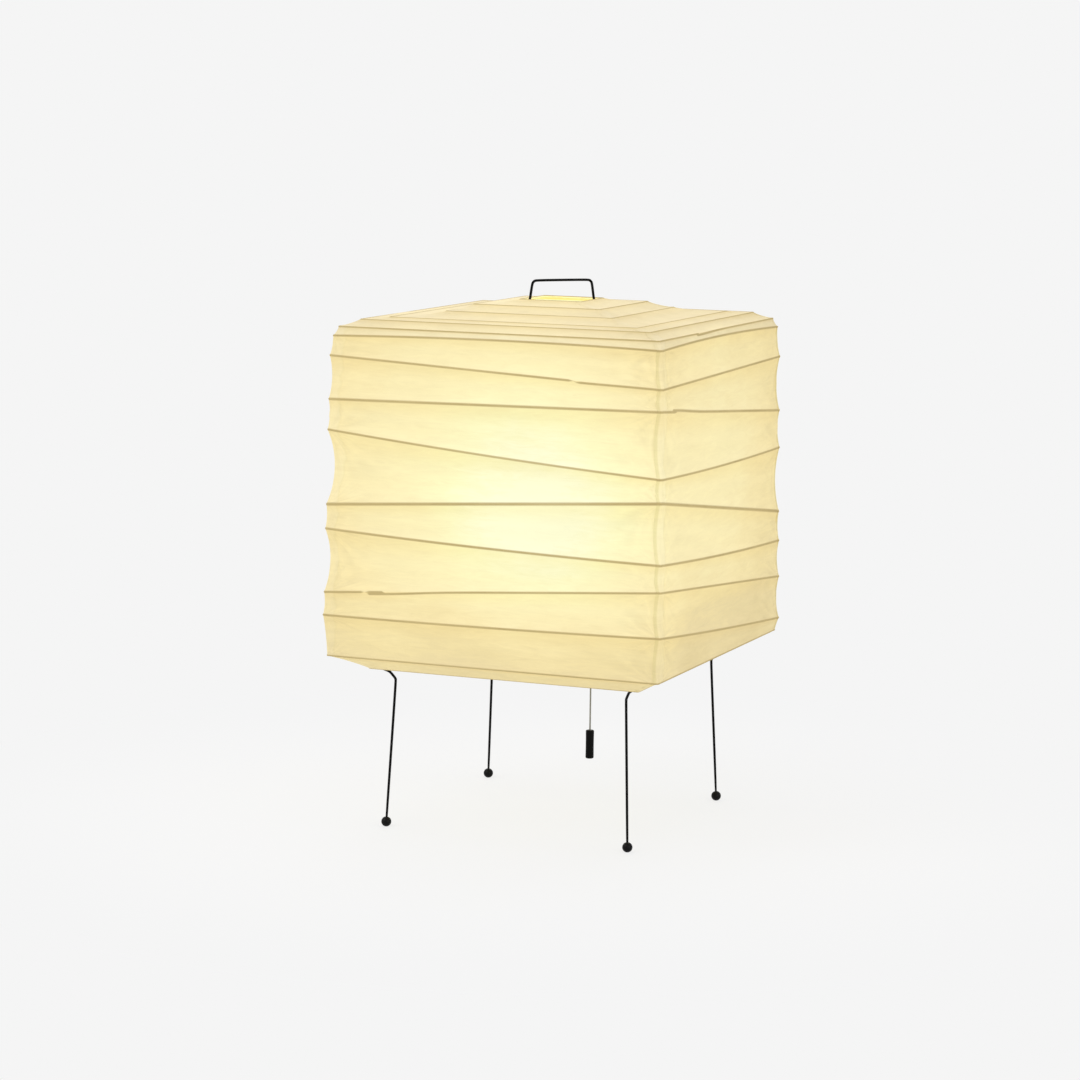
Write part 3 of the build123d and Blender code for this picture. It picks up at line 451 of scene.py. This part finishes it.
def ridge(index, side, u):
    """Half-side and height of the ridge over a hoop at shares u along a side."""
    a, b = level(index, side), level(index, (side + 1) % 4)
    s, z = (a[i] + (b[i] - a[i]) * u for i in range(2))
    arch = 4 * u * (1 - u)
    if side in (FRONT, RIGHT):
        if SHOULDER < index < EDGE:
            z = z - WALL_HOOPS[index - SHOULDER - 1][1] * MM * arch
        if index == SHOULDER:
            s, z = s - SHOULDER_LIFT * arch, z + SHOULDER_LIFT * arch
    return s, z


def bow(index, side, u, length):
    """How deep the paper pulls in between two hoops, as a share of their gap."""
    if index < SHOULDER or index >= EDGE:
        return np.full(len(u), ROOF_BOW if index < SHOULDER else SKIRT_BOW)
    inner = np.clip(np.minimum(u, 1 - u) / CORNER_SHARE, 0, 1)
    inner = inner * inner * (3 - 2 * inner)
    most = CORNER_BOW[side] + (CORNER_BOW[(side + 1) % 4] - CORNER_BOW[side]) * u
    corner = np.minimum(BOW_GROWTH * length, most) * (LOWEST_BOW if index == EDGE - 1 else 1)
    return corner + (np.minimum(corner, MIDDLE_BOW) - corner) * inner


def columns():
    """Where a panel's columns lie: how far it laps back, its turn at a corner and its run.

    The first lap back round the corner onto the side before, and the last stop in the
    middle of the next corner, under the next panel.
    """
    found = [(1 - k / LAP_STEPS, -90, 0.0) for k in range(LAP_STEPS)]
    found += [(0, angle, 0.0) for angle in (-90, -75, -60, -45, -30, -15)]
    near = [d * MM / SHADE_SIDE for d in NEAR_CORNER]
    off = OFF_CORNER * MM / SHADE_SIDE
    middle = list(np.linspace(off, 1 - off, MIDDLE_COLUMNS))
    found += [(0, 0, x) for x in near + middle + [1 - x for x in reversed(near)]]
    found += [(0, angle, 1.0) for angle in (15, 30, 45)]
    return [np.array(column) for column in zip(*found)]


def bay_rows():
    """Shares of the way down a bay at which its rows lie, closer together by the hoops."""
    steps = [j / HALF_ROWS for j in range(2 * HALF_ROWS)]
    return [0.5 * t**ROW_POWER if t <= 1 else 1 - 0.5 * (2 - t) ** ROW_POWER for t in steps]


def line_distance(index, side, u, above, length):
    """Distance from the middle of a hoop's strip, whose two ends lie side by side at its lap."""
    above = above / BOLD_HOOPS.get(index, 1.0)
    if (index, side) not in SPLICES:
        return np.abs(above)
    share, lap, step = SPLICES[index, side]
    along = (u - share) * length
    beyond = np.maximum(along - abs(lap) / 2, 0) / SPLICE_RUN
    left = np.abs(above) + np.maximum(along - lap / 2, 0)
    right = np.abs(above + step * np.exp(-(beyond**2))) + np.maximum(-along - lap / 2, 0)
    if lap > LONG_LAP:
        scrap = (along < -lap / 2) & (along > -lap / 2 - SCRAP)
        left = np.where(scrap, left + SCRAP_FADE, left)
    return np.minimum(left, right)


def fan(dx, dz, seed, reach):
    """Broad folds that run out from a hoop's corner."""
    far = math.hypot(dx, dz) / reach
    if far > FAN_END:
        return 0.0
    turn = math.atan2(dz, dx)
    fold = noise.noise((turn * FAN_TURNS + seed, far * FAN_LENGTHS, seed * FAN_LAYERS))
    return (1 - FAN_EDGE * abs(fold)) * far * math.exp(1 - far * far) * FAN_DEPTH


def fans(x, down, gap, wide, seed):
    """The folds from the four hoops' corners round a bay, at one of its points."""
    reach = min(FAN_REACH[0] * gap, FAN_REACH[1])
    total = 0.0
    for end, dx in enumerate((x, wide - x)):
        for dz, (layer, shift) in ((down, UPPER_FANS), (gap - down, LOWER_FANS)):
            share = 0.5 + noise.noise((seed + END_SHARE_SEED * end, *layer))
            total += share * fan(dx, dz, seed + shift + END_SEED * end, reach)
    return total


def folds(index, side, run, v, length, wide):
    """How far the paper stands in or out at each point of a row, where 1 is a full fold."""
    seed = BAY_SEED * index + SIDE_SEED * side
    found = []
    for x, gap in zip(run, length):
        down = v * gap
        total = 0.0
        for along, across, seed_along, seed_across, layer, depth in STREAKS:
            spot = (x * along + seed * seed_along, down * across + seed * seed_across, layer)
            total += noise.noise(spot) * depth
        if SHOULDER <= index < EDGE:
            total += fans(x, down, gap, wide, seed)
        found.append(total)
    return np.clip(np.array(found), -FOLD_MOST, FOLD_MOST)


def rays(index, side, run, v, length, wide):
    """For each point of a row, its direction and distance from the nearest hoop's corner."""
    start = run < wide / 2
    dx = np.where(start, run, wide - run)
    dz = min(v, 1 - v) * length
    seed = RAY_BAY * index + RAY_SIDE * side + np.where(start, 0, RAY_END)
    seed = seed + (0 if v < 0.5 else RAY_LOWER)
    return np.arctan2(dz, dx) * RAYS + seed, np.hypot(dx / RAY_REACH, dz / (length / 2))


COLUMNS = columns()


def plan(s, wide, bend, over):
    """Where a row's points lie in plan: along the side, round its corners and on the lap."""
    back, turn, u = COLUMNS
    a = np.radians(turn)
    flat = s - bend
    tucked = bend - UNDER
    dip = np.clip(1 - (1 - u) * wide / TUCK_RUN, 0, 1) * UNDER
    where = [back > 0, turn < 0, turn > 0]
    across = [-flat - bend - SKIN, -flat + bend * np.sin(a), flat + tucked * np.sin(a)]
    inward = [-flat + over * back, -flat - bend * np.cos(a), -flat - tucked * np.cos(a)]
    return np.select(where, across, -flat + 2 * flat * u), np.select(where, inward, -s + dip)


def paper_row(index, side, v):
    """One row of a panel's points, at a share of the way down a bay, and what each point is."""
    back, turn, u = COLUMNS
    s1, z1 = ridge(index, side, u)
    s2, z2 = ridge(index + 1, side, u)
    length = np.hypot(s2 - s1, z2 - z1)
    ns, nz = (z2 - z1) / length, -(s2 - s1) / length
    away = min(v, 1 - v) * length
    wide = 2 * float(s1[0] + (s2[0] - s1[0]) * v)
    run = u * wide
    calm = np.clip(away / CREASE_CALM, 0, 1) * np.where((back == 0) & (turn == 0), 1, AT_CORNER)
    crease = folds(index, side, run, v, length, wide) * calm
    depth = bow(index, side, u, length) * length * (1 - abs(2 * v - 1) ** BOW_POWER)
    depth = depth - crease * CREASE_DEPTH - PROUD * np.exp(-((away / PROUD_RUN) ** 2))
    s = s1 + (s2 - s1) * v + ns * depth
    z = z1 + (z2 - z1) * v + nz * depth
    bulge = 4 * v * (1 - v)
    bend = RIB_BEND + (CORNER_BEND - RIB_BEND) * bulge
    waver = noise.noise((WAVER_SIDE * side, WAVER_WAVES * float(z[0]), WAVER_LAYER))
    over = LAP_OVER * (LAP_WIDTH + LAP_BULGE * bulge + LAP_WAVER * waver)
    x, y = plan(s, wide, bend, over)
    above, hoop = (-v * length, index) if v <= 0.5 else ((1 - v) * length, index + 1)
    around = np.radians(turn + 90) * bend + run
    ray, far = rays(index, side, run, v, length, wide)
    return np.column_stack((x, y, z)), {
        "rib": line_distance(hoop, side, u, above, wide),
        "fall": np.full(len(u), v),
        "lap": np.where(turn > 0, FAR_OFF, around - math.radians(45) * bend - over * back),
        "edge": over * (1 - back) + np.where(back > 0, 0, around),
        "crease": crease,
        "ray": ray,
        "far": far,
    }


def panel_points(side, first, last):
    """The grid of points of one side's paper between two levels, with what each point is."""
    rows = [(index, v) for index in range(first, last) for v in bay_rows()] + [(last - 1, 1.0)]
    found = [paper_row(index, side, v) for index, v in rows]
    facts = {name: np.concatenate([row[name] for _, row in found]) for name in FACTS}
    return np.array([points for points, _ in found]), facts


def turned(points, side):
    """Points of the front side turned round to another side."""
    for _ in range(side):
        points = np.column_stack((-points[:, 1], points[:, 0], points[:, 2]))
    return points


def paper_piece(kind, side, first, last, materials):
    """One sheet of washi, glued over the hoops between two levels of one side."""
    name = f"washi_{kind}_{SIDES[side]}"
    grid, facts = panel_points(side, first, last)
    rows, cols = grid.shape[:2]
    points = turned(grid.reshape(-1, 3), side)
    starts = [i * cols + j for i in range(rows - 1) for j in range(cols - 1)]
    mesh = bpy.data.meshes.new(name)
    mesh.from_pydata(points.tolist(), [], [(k, k + cols, k + cols + 1, k + 1) for k in starts])
    for label, values in facts.items():
        layer = mesh.attributes.new(label, "FLOAT", "POINT")
        layer.data.foreach_set("value", values.astype(np.float32))
    mesh.polygons.foreach_set("use_smooth", [True] * len(mesh.polygons))
    for material in materials:
        mesh.materials.append(material)
    piece = bpy.data.objects.new(name, mesh)
    bpy.context.scene.collection.objects.link(piece)
    shell = piece.modifiers.new("paper", "SOLIDIFY")
    shell.thickness = PAPER
    shell.offset = -1
    shell.material_offset = 1
    shell.material_offset_rim = 0
    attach(piece, "stand")
    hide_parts(f"{kind}_paper_{SIDES[side]}")
    return piece


# Each sheet's levels, flat size, flat area with its laps, and the hoops that it is glued to.
SHEETS = (
    ("roof", RIM, SHOULDER, (0.424, 0.178), 0.0487, ["rim_hoop", "shoulder_hoop"]),
    ("wall", SHOULDER, EDGE, (0.440, 0.400), 0.176, ["shoulder_hoop", "edge_hoop"]),
    ("skirt", EDGE, MOUTH, (0.432, 0.044), 0.0177, ["edge_hoop", "mouth_hoop"]),
)


def make_shade():
    """The twelve sheets, whose inner faces glow more strongly than their outer ones."""
    outside = {
        "wall": washi("washi_wall", 1.0),
        "roof": washi("washi_roof", 0.22, cast=(0.93, 0.97, 1.22), low_share=0.9, seam_share=0.35),
        "skirt": washi("washi_skirt", 1.0),
    }
    inside = washi("washi_inside", 3.0, glow_share=1.15, cast=(0.96, 1, 1.12))
    for side in range(len(SIDES)):
        for kind, first, last, flat, area, hoops in SHEETS:
            sheet = paper_piece(kind, side, first, last, (outside[kind], inside))


# ---------------------------------------------------------------- turned and swept pieces
def mesh_piece(name, points, faces, material, body, slot):
    """A smooth piece of one material that rides on a body."""
    mesh = bpy.data.meshes.new(name)
    mesh.from_pydata([tuple(p) for p in points], [], faces)
    mesh.materials.append(material)
    mesh.polygons.foreach_set("use_smooth", [True] * len(mesh.polygons))
    mesh.update()
    piece = bpy.data.objects.new(name, mesh)
    bpy.context.scene.collection.objects.link(piece)
    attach(piece, body)
    return piece


def joined(shapes):
    """Several shapes' points and faces as one."""
    points, faces = [], []
    for more_points, more_faces in shapes:
        faces += [tuple(i + len(points) for i in face) for face in more_faces]
        points += more_points
    return points, faces


def lathe(profile, centre, steps=40):
    """Points and faces of a closed turned shape whose profile starts and ends on its axis."""
    cx, cy, cz = centre
    points = [(cx, cy, cz + profile[0][1])]
    for r, z in profile[1:-1]:
        for k in range(steps):
            a = 2 * math.pi * k / steps
            points.append((cx + r * math.cos(a), cy + r * math.sin(a), cz + z))
    points.append((cx, cy, cz + profile[-1][1]))
    faces = []
    rings = len(profile) - 2
    for k in range(steps):
        j = (k + 1) % steps
        faces.append((0, 1 + j, 1 + k))
        for i in range(rings - 1):
            a, b = 1 + i * steps, 1 + (i + 1) * steps
            faces.append((a + k, a + j, b + j, b + k))
        top = 1 + (rings - 1) * steps
        faces.append((top + k, top + j, len(points) - 1))
    return points, faces


def tube_round(path, radius, sides=10, closed=False):
    """Points and faces of a round tube along a path."""
    path = [Vector(p) for p in path]
    count = len(path)
    points, faces = [], []
    side = None
    for i, p in enumerate(path):
        before = path[(i - 1) % count] if closed or i else path[0]
        after = path[(i + 1) % count] if closed or i + 1 < count else path[-1]
        run = (after - before).normalized()
        if side is None:
            side = run.orthogonal().normalized()
        side = (side - run * side.dot(run)).normalized()
        other = run.cross(side)
        for k in range(sides):
            a = 2 * math.pi * k / sides
            points.append(p + side * radius * math.cos(a) + other * radius * math.sin(a))
    for i in range(count if closed else count - 1):
        for k in range(sides):
            a, b = i * sides, ((i + 1) % count) * sides
            j = (k + 1) % sides
            faces.append((a + k, a + j, b + j, b + k))
    if not closed:
        faces.append(tuple(range(sides))[::-1])
        faces.append(tuple((count - 1) * sides + k for k in range(sides)))
    return points, faces


# ---------------------------------------------------------------- eased edges and round wires
WELD = 0.001 * MM
WIRE, WIRE_SIDES = 3.2 * MM, 10  # the stand's wire, and how many flat sides its bars have
EDGE_WIDTH, BRASS_EDGE, EDGE_STEPS = 0.3 * MM, 0.12 * MM, 2
SMALL_EDGE = 0.25 * MM  # on the hub and the ferrules
SHARP = math.radians(35)  # an edge that turns by more than this is eased


def welded(name):
    """A piece with smooth shading and joined points, ready to be rounded."""
    piece = nodes[name]
    piece.data.polygons.foreach_set("use_smooth", [True] * len(piece.data.polygons))
    weld = piece.modifiers.new("weld", "WELD")
    weld.merge_threshold = WELD
    return piece


def soften(name, width):
    """Rounds a piece's sharp edges a little."""
    piece = welded(name)
    bevel = piece.modifiers.new("edges", "BEVEL")
    bevel.width = width
    bevel.segments = EDGE_STEPS
    bevel.limit_method = "ANGLE"
    bevel.angle_limit = SHARP
    normals = piece.modifiers.new("normals", "WEIGHTED_NORMAL")
    normals.keep_sharp = False


def smooth_bar(name):
    """Rounds a many-sided bar into a smooth round wire of the same thickness."""
    piece = welded(name)
    rounder = piece.modifiers.new("round", "SUBSURF")
    rounder.levels = rounder.render_levels = 2
    swell = piece.modifiers.new("swell", "DISPLACE")
    swell.strength = WIRE / 2 * (1 - (2 + math.cos(2 * math.pi / WIRE_SIDES)) / 3)
    swell.mid_level = 0


def paint(name, material):
    """Gives a piece its one material."""
    data = nodes[name].data
    data.materials.clear()
    data.materials.append(material)


# ---------------------------------------------------------------- plain materials
GRAIN_FINER = 18  # how many times finer the grain is than the changes of colour
GRAIN_DEPTH = 0.2 * MM
GLOSS_VARY = (0.85, 1.2)
BAMBOO_GLOW = 0.6


def surface(name, colour, roughness, metallic=0.0, grain=60, vary=0.12, bump=0.15, specular=0.5):
    """A worked surface: its colour and gloss vary a little, and it has a fine grain."""
    sh = Shader(name)
    coarse = sh.noise(grain, detail=4)
    fine = sh.noise(grain * GRAIN_FINER, detail=6, roughness=0.7)
    low = [c * (1 - vary) for c in colour]
    high = [min(1.0, c * (1 + vary)) for c in colour]
    tone = sh.mix(sh.range(coarse, USUAL), low, high)
    gloss = sh.range(fine, USUAL, [min(1.0, roughness * share) for share in GLOSS_VARY])
    sh.set(Base_Color=tone, Roughness=gloss, Metallic=metallic, Specular_IOR_Level=specular)
    sh.set(Normal=sh.bump(fine, bump, GRAIN_DEPTH))
    return sh.material


def bamboo():
    """Split bamboo with its long grain and a few darker spots, lit by the bulb inside."""
    sh = Shader("bamboo")
    grain = sh.noise(70, detail=6, roughness=0.7, vector=sh.stretched(0.4, 0.4, 9))
    spots = sh.range(sh.noise(14, detail=2), (0.62, 0.7))
    streak = sh.range(grain, USUAL)
    tone = sh.mix(streak, linear(196, 174, 120), linear(222, 204, 152))
    tone = sh.mix(spots, tone, linear(168, 140, 90))
    lit = sh.mix(streak, linear(214, 200, 104), linear(236, 226, 140))
    sh.set(Base_Color=tone, Roughness=0.5, Normal=sh.bump(grain, 0.3, GRAIN_DEPTH))
    sh.set(Emission_Color=lit, Emission_Strength=BAMBOO_GLOW)
    return sh.material


BULB = (0, 0, 416.5 * MM)  # the middle of the lit globe


def frosted_glass():
    """The lit bulb's frosted glass, a little dimmer away from the globe's middle."""
    sh = Shader("frosted_glass")
    frost = sh.noise(500, detail=4)
    near = sh.range(sh.distance(BULB), (20 * MM, 70 * MM), (1.0, 0.75))
    tone = sh.mix(sh.range(frost, USUAL), linear(255, 250, 226), linear(255, 246, 214))
    glow = sh.mix(near, linear(250, 226, 170), tone)
    sh.set(Base_Color=tone, Roughness=0.45, Emission_Color=glow, Emission_Strength=1.0)
    sh.set(Normal=sh.bump(frost, 0.2, 0.05 * MM))
    return sh.material


def braid():
    """Fine braided cord."""
    sh = Shader("pull_cord")
    wave = sh.add("TexWave", {"Vector": sh.place(), "Scale": 420.0, "Distortion": 1.5})
    wave.bands_direction = "DIAGONAL"
    strand = wave.outputs["Fac"]
    tone = sh.mix(strand, linear(112, 111, 108), linear(150, 149, 146))
    sh.set(Base_Color=tone, Roughness=0.8, Normal=sh.bump(strand, 0.6, GRAIN_DEPTH))
    return sh.material


# ---------------------------------------------------------------- pull cord
PULL_X = 46.5 * MM
CORD = 2.0 * MM
LOOP_Z, LOOP = 282.5 * MM, 2.3 * MM
KNOT_Z = 279.2 * MM
LOOP_STEPS, KNOT_STEPS, KNOT_TURNS = 24, 48, 2
KNOT_REACH, KNOT_WAVER, KNOT_RISE = 0.62, 0.08, 0.55  # in widths of the cord
KNOT_START = 0.4  # where on its rise the knot starts, in radians
SLIM = 0.48  # a bent strand's radius as a share of its width
CORD_LEAD = 6 * CORD  # how far each end of the cord runs before its next point
KNOB_Z, KNOB_LENGTH, KNOB = 75 * MM, 36 * MM, 10.4 * MM
KNOB_SOCKET = 6 * MM  # how deep the cord sits in the knob
KNOB_EASE, KNOB_WAIST, EASE_STEPS = 1.5 * MM, 0.14 * MM, 6
SOCKET_ROOM, SOCKET_EASE = 0.05 * MM, 0.5 * MM
CORD_END_Z = KNOB_Z + KNOB_LENGTH - KNOB_SOCKET


def make_cord(material, knob_material):
    """The cord hangs straight from its knot under the ring into the knob."""
    heights = (KNOT_Z, KNOT_Z - CORD_LEAD, CORD_END_Z + CORD_LEAD, CORD_END_Z)
    curve = bpy.data.curves.new("pull_cord_line", "CURVE")
    curve.dimensions = "3D"
    spline = curve.splines.new("NURBS")
    spline.points.add(len(heights) - 1)
    for point, z in zip(spline.points, heights):
        point.co = (PULL_X, 0, z, 1)
    spline.order_u = 3
    spline.use_endpoint_u = True
    curve.bevel_depth = CORD / 2
    curve.bevel_resolution = 4
    curve.use_fill_caps = True
    curve.materials.append(material)
    line = bpy.data.objects.new("pull_cord_line", curve)
    bpy.context.scene.collection.objects.link(line)
    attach(line, "cord")
    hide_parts("pull_cord")
    knot = cord_knot(material)
    knob = pull_knob(knob_material)


def cord_knot(material):
    """The loop through the ring and the knot under it, two turns of the cord."""
    loop, knot = [], []
    for k in range(LOOP_STEPS):
        a = 2 * math.pi * k / LOOP_STEPS
        loop.append((PULL_X, LOOP * math.sin(a), LOOP_Z - LOOP * math.cos(a)))
    for k in range(KNOT_STEPS + 1):
        a = 2 * math.pi * KNOT_TURNS * k / KNOT_STEPS
        reach = CORD * (KNOT_REACH + KNOT_WAVER * math.sin(3 * a))
        z = KNOT_Z + CORD * KNOT_RISE * math.sin(a / 2 + KNOT_START)
        knot.append((PULL_X + reach * math.cos(a), reach * math.sin(a), z))
    parts = (tube_round(loop, CORD / 2, closed=True), tube_round(knot, CORD * SLIM))
    return mesh_piece("cord_knot", *joined(parts), material, "cord", "pull_cord")


def pull_knob(material):
    """A slim turned wooden grip, its ends eased and its waist a little slimmer."""
    half, ease = KNOB / 2, KNOB_EASE
    hole = CORD / 2 + SOCKET_ROOM
    turns = [math.pi / 2 * k / EASE_STEPS for k in range(EASE_STEPS + 1)]
    profile = [(0, 0)]
    profile += [(half - ease + ease * math.sin(a), ease - ease * math.cos(a)) for a in turns[1:]]
    for share in (0.2, 0.35, 0.5, 0.65, 0.8):
        slim = KNOB_WAIST * math.sin(math.pi * share)
        profile.append((half - slim, ease + (KNOB_LENGTH - 2 * ease) * share))
    for a in turns[:-1]:
        profile.append((half - ease + ease * math.cos(a), KNOB_LENGTH - ease + ease * math.sin(a)))
    profile += [(half - ease, KNOB_LENGTH), (hole + SOCKET_EASE, KNOB_LENGTH)]
    profile += [(hole, KNOB_LENGTH - SOCKET_EASE), (hole, KNOB_LENGTH - KNOB_SOCKET)]
    profile.append((0, KNOB_LENGTH - KNOB_SOCKET))
    points, faces = lathe(profile, (PULL_X, 0, KNOB_Z), 36)
    piece = mesh_piece("pull_grip", points, faces, material, "cord", "black_knob")
    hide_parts("pull_knob")
    return piece


# ---------------------------------------------------------------- spring
SPRING_WIRE, SPRING_TURNS, SPRING_STEPS = 0.6 * MM, 5, 24


def coil_spring(material):
    """The round wire coil that the pull squeezes between the rod's head and the switch."""
    lo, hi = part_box("return_spring")
    centre = (lo + hi) / 2
    reach = (hi.x - lo.x - SPRING_WIRE) / 2
    low, rise = lo.z + SPRING_WIRE / 2, hi.z - lo.z - SPRING_WIRE
    path, steps = [], SPRING_STEPS * SPRING_TURNS
    for k in range(steps + 1):
        a = 2 * math.pi * SPRING_TURNS * k / steps
        x, y = centre.x + reach * math.cos(a), centre.y + reach * math.sin(a)
        path.append((x, y, low + rise * k / steps))
    points, faces = tube_round(path, SPRING_WIRE * SLIM, sides=8)
    piece = mesh_piece("return_coil", points, faces, material, "stand", "spring_steel")
    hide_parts("return_spring")
    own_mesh(piece)


# ---------------------------------------------------------------- feet and bulb
BALL = 12.5 * MM
BALL_FLAT = 4 * MM
BALL_STEPS = 24
BALL_INNER, BALL_LAST = 0.6, 0.985  # where the first ring lies on the flat, and the last below the top
THROAT = 12.6 * MM  # the radius of the bulb's neck where it enters its cap
NECK_LEAN = math.radians(28)  # where the neck's curve meets the globe
NECK_EASE = 0.75  # how much the neck's curve levels out again before the globe
NECK_STEPS, GLOBE_STEPS = 14, 30


def ball_feet(material):
    """Four balls, each with the small flat that it stands on."""
    lo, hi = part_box("ball_feet")
    reach = hi.x - BALL / 2
    radius = BALL / 2
    centre_z = math.sqrt(radius**2 - (BALL_FLAT / 2) ** 2)
    low = math.asin(centre_z / radius)
    profile = [(0, -centre_z), (BALL_FLAT / 2 * BALL_INNER, -centre_z)]
    for k in range(BALL_STEPS + 1):
        a = -low + (math.pi / 2 + low) * k / BALL_STEPS * BALL_LAST
        profile.append((radius * math.cos(a), radius * math.sin(a)))
    profile.append((0, radius))
    corners = ((-reach, -reach), (reach, -reach), (reach, reach), (-reach, reach))
    points, faces = joined(lathe(profile, (x, y, centre_z)) for x, y in corners)
    piece = mesh_piece("feet", points, faces, material, "stand", "black_ball")
    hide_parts("ball_feet")


def bulb(material):
    """The pear-shaped frosted envelope."""
    lo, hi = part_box("bulb_glass")
    radius = (hi.x - lo.x) / 2
    centre = hi.z - radius
    profile = [(0, lo.z), (THROAT, lo.z)]
    join_r, join_z = radius * math.cos(NECK_LEAN), centre - radius * math.sin(NECK_LEAN)
    for k in range(1, NECK_STEPS):
        t = k / NECK_STEPS
        swell = NECK_EASE * t * t * (3 - 2 * t) + (1 - NECK_EASE) * t**2
        profile.append((THROAT + (join_r - THROAT) * swell, lo.z + (join_z - lo.z) * t))
    for k in range(GLOBE_STEPS):
        a = -NECK_LEAN + (math.pi / 2 + NECK_LEAN) * k / GLOBE_STEPS
        profile.append((radius * math.cos(a), centre + radius * math.sin(a)))
    profile.append((0, hi.z))
    points, faces = lathe(profile, (0, 0, 0), 48)
    piece = mesh_piece("bulb_envelope", points, faces, material, "bulb", "frosted_glass")
    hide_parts("bulb_glass")


# ---------------------------------------------------------------- floor, world and lamps
BACKGROUND = linear(245, 245, 245)
FLOOR = 6.0  # half its side
FLOOR_FADE, FLOOR_SHARE = (0.30, 0.85), (0.84, 1.0)
SKY_LIGHT = 0.62  # how strongly the world lights the lamp
LAMP_AIM = Vector((0, 0, 0.35))
LAMPS = (
    # name, place, size and power
    ("key", (-1.9, -2.2, 2.6), 2.2, 45),
    ("fill", (2.6, -1.4, 1.2), 2.0, 24),
    ("top", (0, 0.3, 3.2), 2.4, 26),
    ("back", (-1.2, 2.8, 1.9), 2.2, 30),
)


def make_floor():
    """A pale floor that keeps the lamp's shadow and fades into the background beyond it."""
    corners = [(-FLOOR, -FLOOR, 0), (FLOOR, -FLOOR, 0), (FLOOR, FLOOR, 0), (-FLOOR, FLOOR, 0)]
    mesh = bpy.data.meshes.new("floor")
    mesh.from_pydata(corners, [], [(0, 1, 2, 3)])
    floor = bpy.data.objects.new("floor", mesh)
    bpy.context.scene.collection.objects.link(floor)
    sh = Shader("floor")
    sh.set(Base_Color=(*BACKGROUND, 1), Roughness=0.9, Specular_IOR_Level=0.0)
    plain = sh.add("Emission", {"Color": (*BACKGROUND, 1), "Strength": 1.0})
    path = sh.add("LightPath")
    away = sh.vector("LENGTH", sh.place())
    shown = sh.math("MAXIMUM", path.outputs["Is Camera Ray"], path.outputs["Is Glossy Ray"])
    fade = sh.product(sh.range(away, FLOOR_FADE, FLOOR_SHARE, smooth=True), shown)
    mix = sh.add("MixShader", {0: fade, 1: sh.shader.outputs[0], 2: plain.outputs[0]})
    sh.put(sh.tree.nodes["Material Output"].inputs[0], mix.outputs[0])
    mesh.materials.append(sh.material)


def make_world():
    """A plain background, which lights the lamp less strongly than it shows."""
    world = bpy.data.worlds.new("world")
    bpy.context.scene.world = world
    world.use_nodes = True
    tree = world.node_tree
    back = tree.nodes["Background"]
    path = tree.nodes.new("ShaderNodeLightPath")
    seen = tree.nodes.new("ShaderNodeMath")
    seen.operation = "MAXIMUM"
    strength = tree.nodes.new("ShaderNodeMapRange")
    strength.inputs["To Min"].default_value = SKY_LIGHT
    strength.inputs["To Max"].default_value = 1.0
    back.inputs["Color"].default_value = (*BACKGROUND, 1)
    tree.links.new(path.outputs["Is Camera Ray"], seen.inputs[0])
    tree.links.new(path.outputs["Is Glossy Ray"], seen.inputs[1])
    tree.links.new(seen.outputs[0], strength.inputs["Value"])
    tree.links.new(strength.outputs[0], back.inputs["Strength"])


def make_lamps():
    """Soft light from all round."""
    for name, place, size, power in LAMPS:
        lamp = bpy.data.objects.new(name, bpy.data.lights.new(name, "AREA"))
        lamp.data.size = size
        lamp.data.energy = power
        lamp.location = place
        lamp.rotation_euler = (LAMP_AIM - Vector(place)).to_track_quat("-Z", "Y").to_euler()
        bpy.context.scene.collection.objects.link(lamp)


# ---------------------------------------------------------------- put together
def finish_built_pieces(plain):
    """Gives each piece that stays as it was built its material and eased edges."""
    wire = surface("black_wire", linear(6, 5, 5), 0.5, grain=30, bump=0.06, specular=0.07)
    strip = bamboo()
    for row in frame["record"]["subparts"]:
        name, slot = row["node"], row["material_slot"]
        if slot == "bamboo":
            paint(name, strip)
        elif slot == "black_wire":
            paint(name, wire)
            if name.startswith("leg_wire") or name == "stretcher":
                smooth_bar(name)
            else:
                soften(name, SMALL_EDGE)
        elif slot in plain:
            paint(name, plain[slot])
            soften(name, BRASS_EDGE if slot == "brass" else EDGE_WIDTH)


make_camera()
knob = surface("black_knob", linear(6, 5, 4), 0.5, grain=45, bump=0.2, specular=0.08)
make_cord(braid(), knob)
make_shade()
plain = {
    "zinc_plated": surface("zinc_plated", (0.60, 0.60, 0.61), 0.32, metallic=1.0, grain=80),
    "black_moulding": surface("black_moulding", linear(38, 36, 35), 0.24, grain=40, bump=0.08),
    "white_ceramic": surface("white_ceramic", linear(238, 236, 230), 0.3, grain=30, vary=0.03),
    "liner_board": surface("liner_board", linear(196, 170, 126), 0.85, grain=90, bump=0.4),
    "brass": surface("brass", (0.78, 0.58, 0.25), 0.3, metallic=1.0, grain=70),
    "spring_steel": surface("spring_steel", (0.56, 0.56, 0.58), 0.28, metallic=1.0, grain=90),
    "bulb_metal": surface("bulb_metal", (0.72, 0.70, 0.66), 0.3, metallic=1.0, grain=60),
}
finish_built_pieces(plain)
coil_spring(plain["spring_steel"])
ball_feet(surface("black_ball", linear(6, 5, 5), 0.42, grain=50, bump=0.1, specular=0.12))
bulb(frosted_glass())
make_floor()
make_world()
make_lamps()
bpy.context.scene.view_settings.view_transform = "Standard"
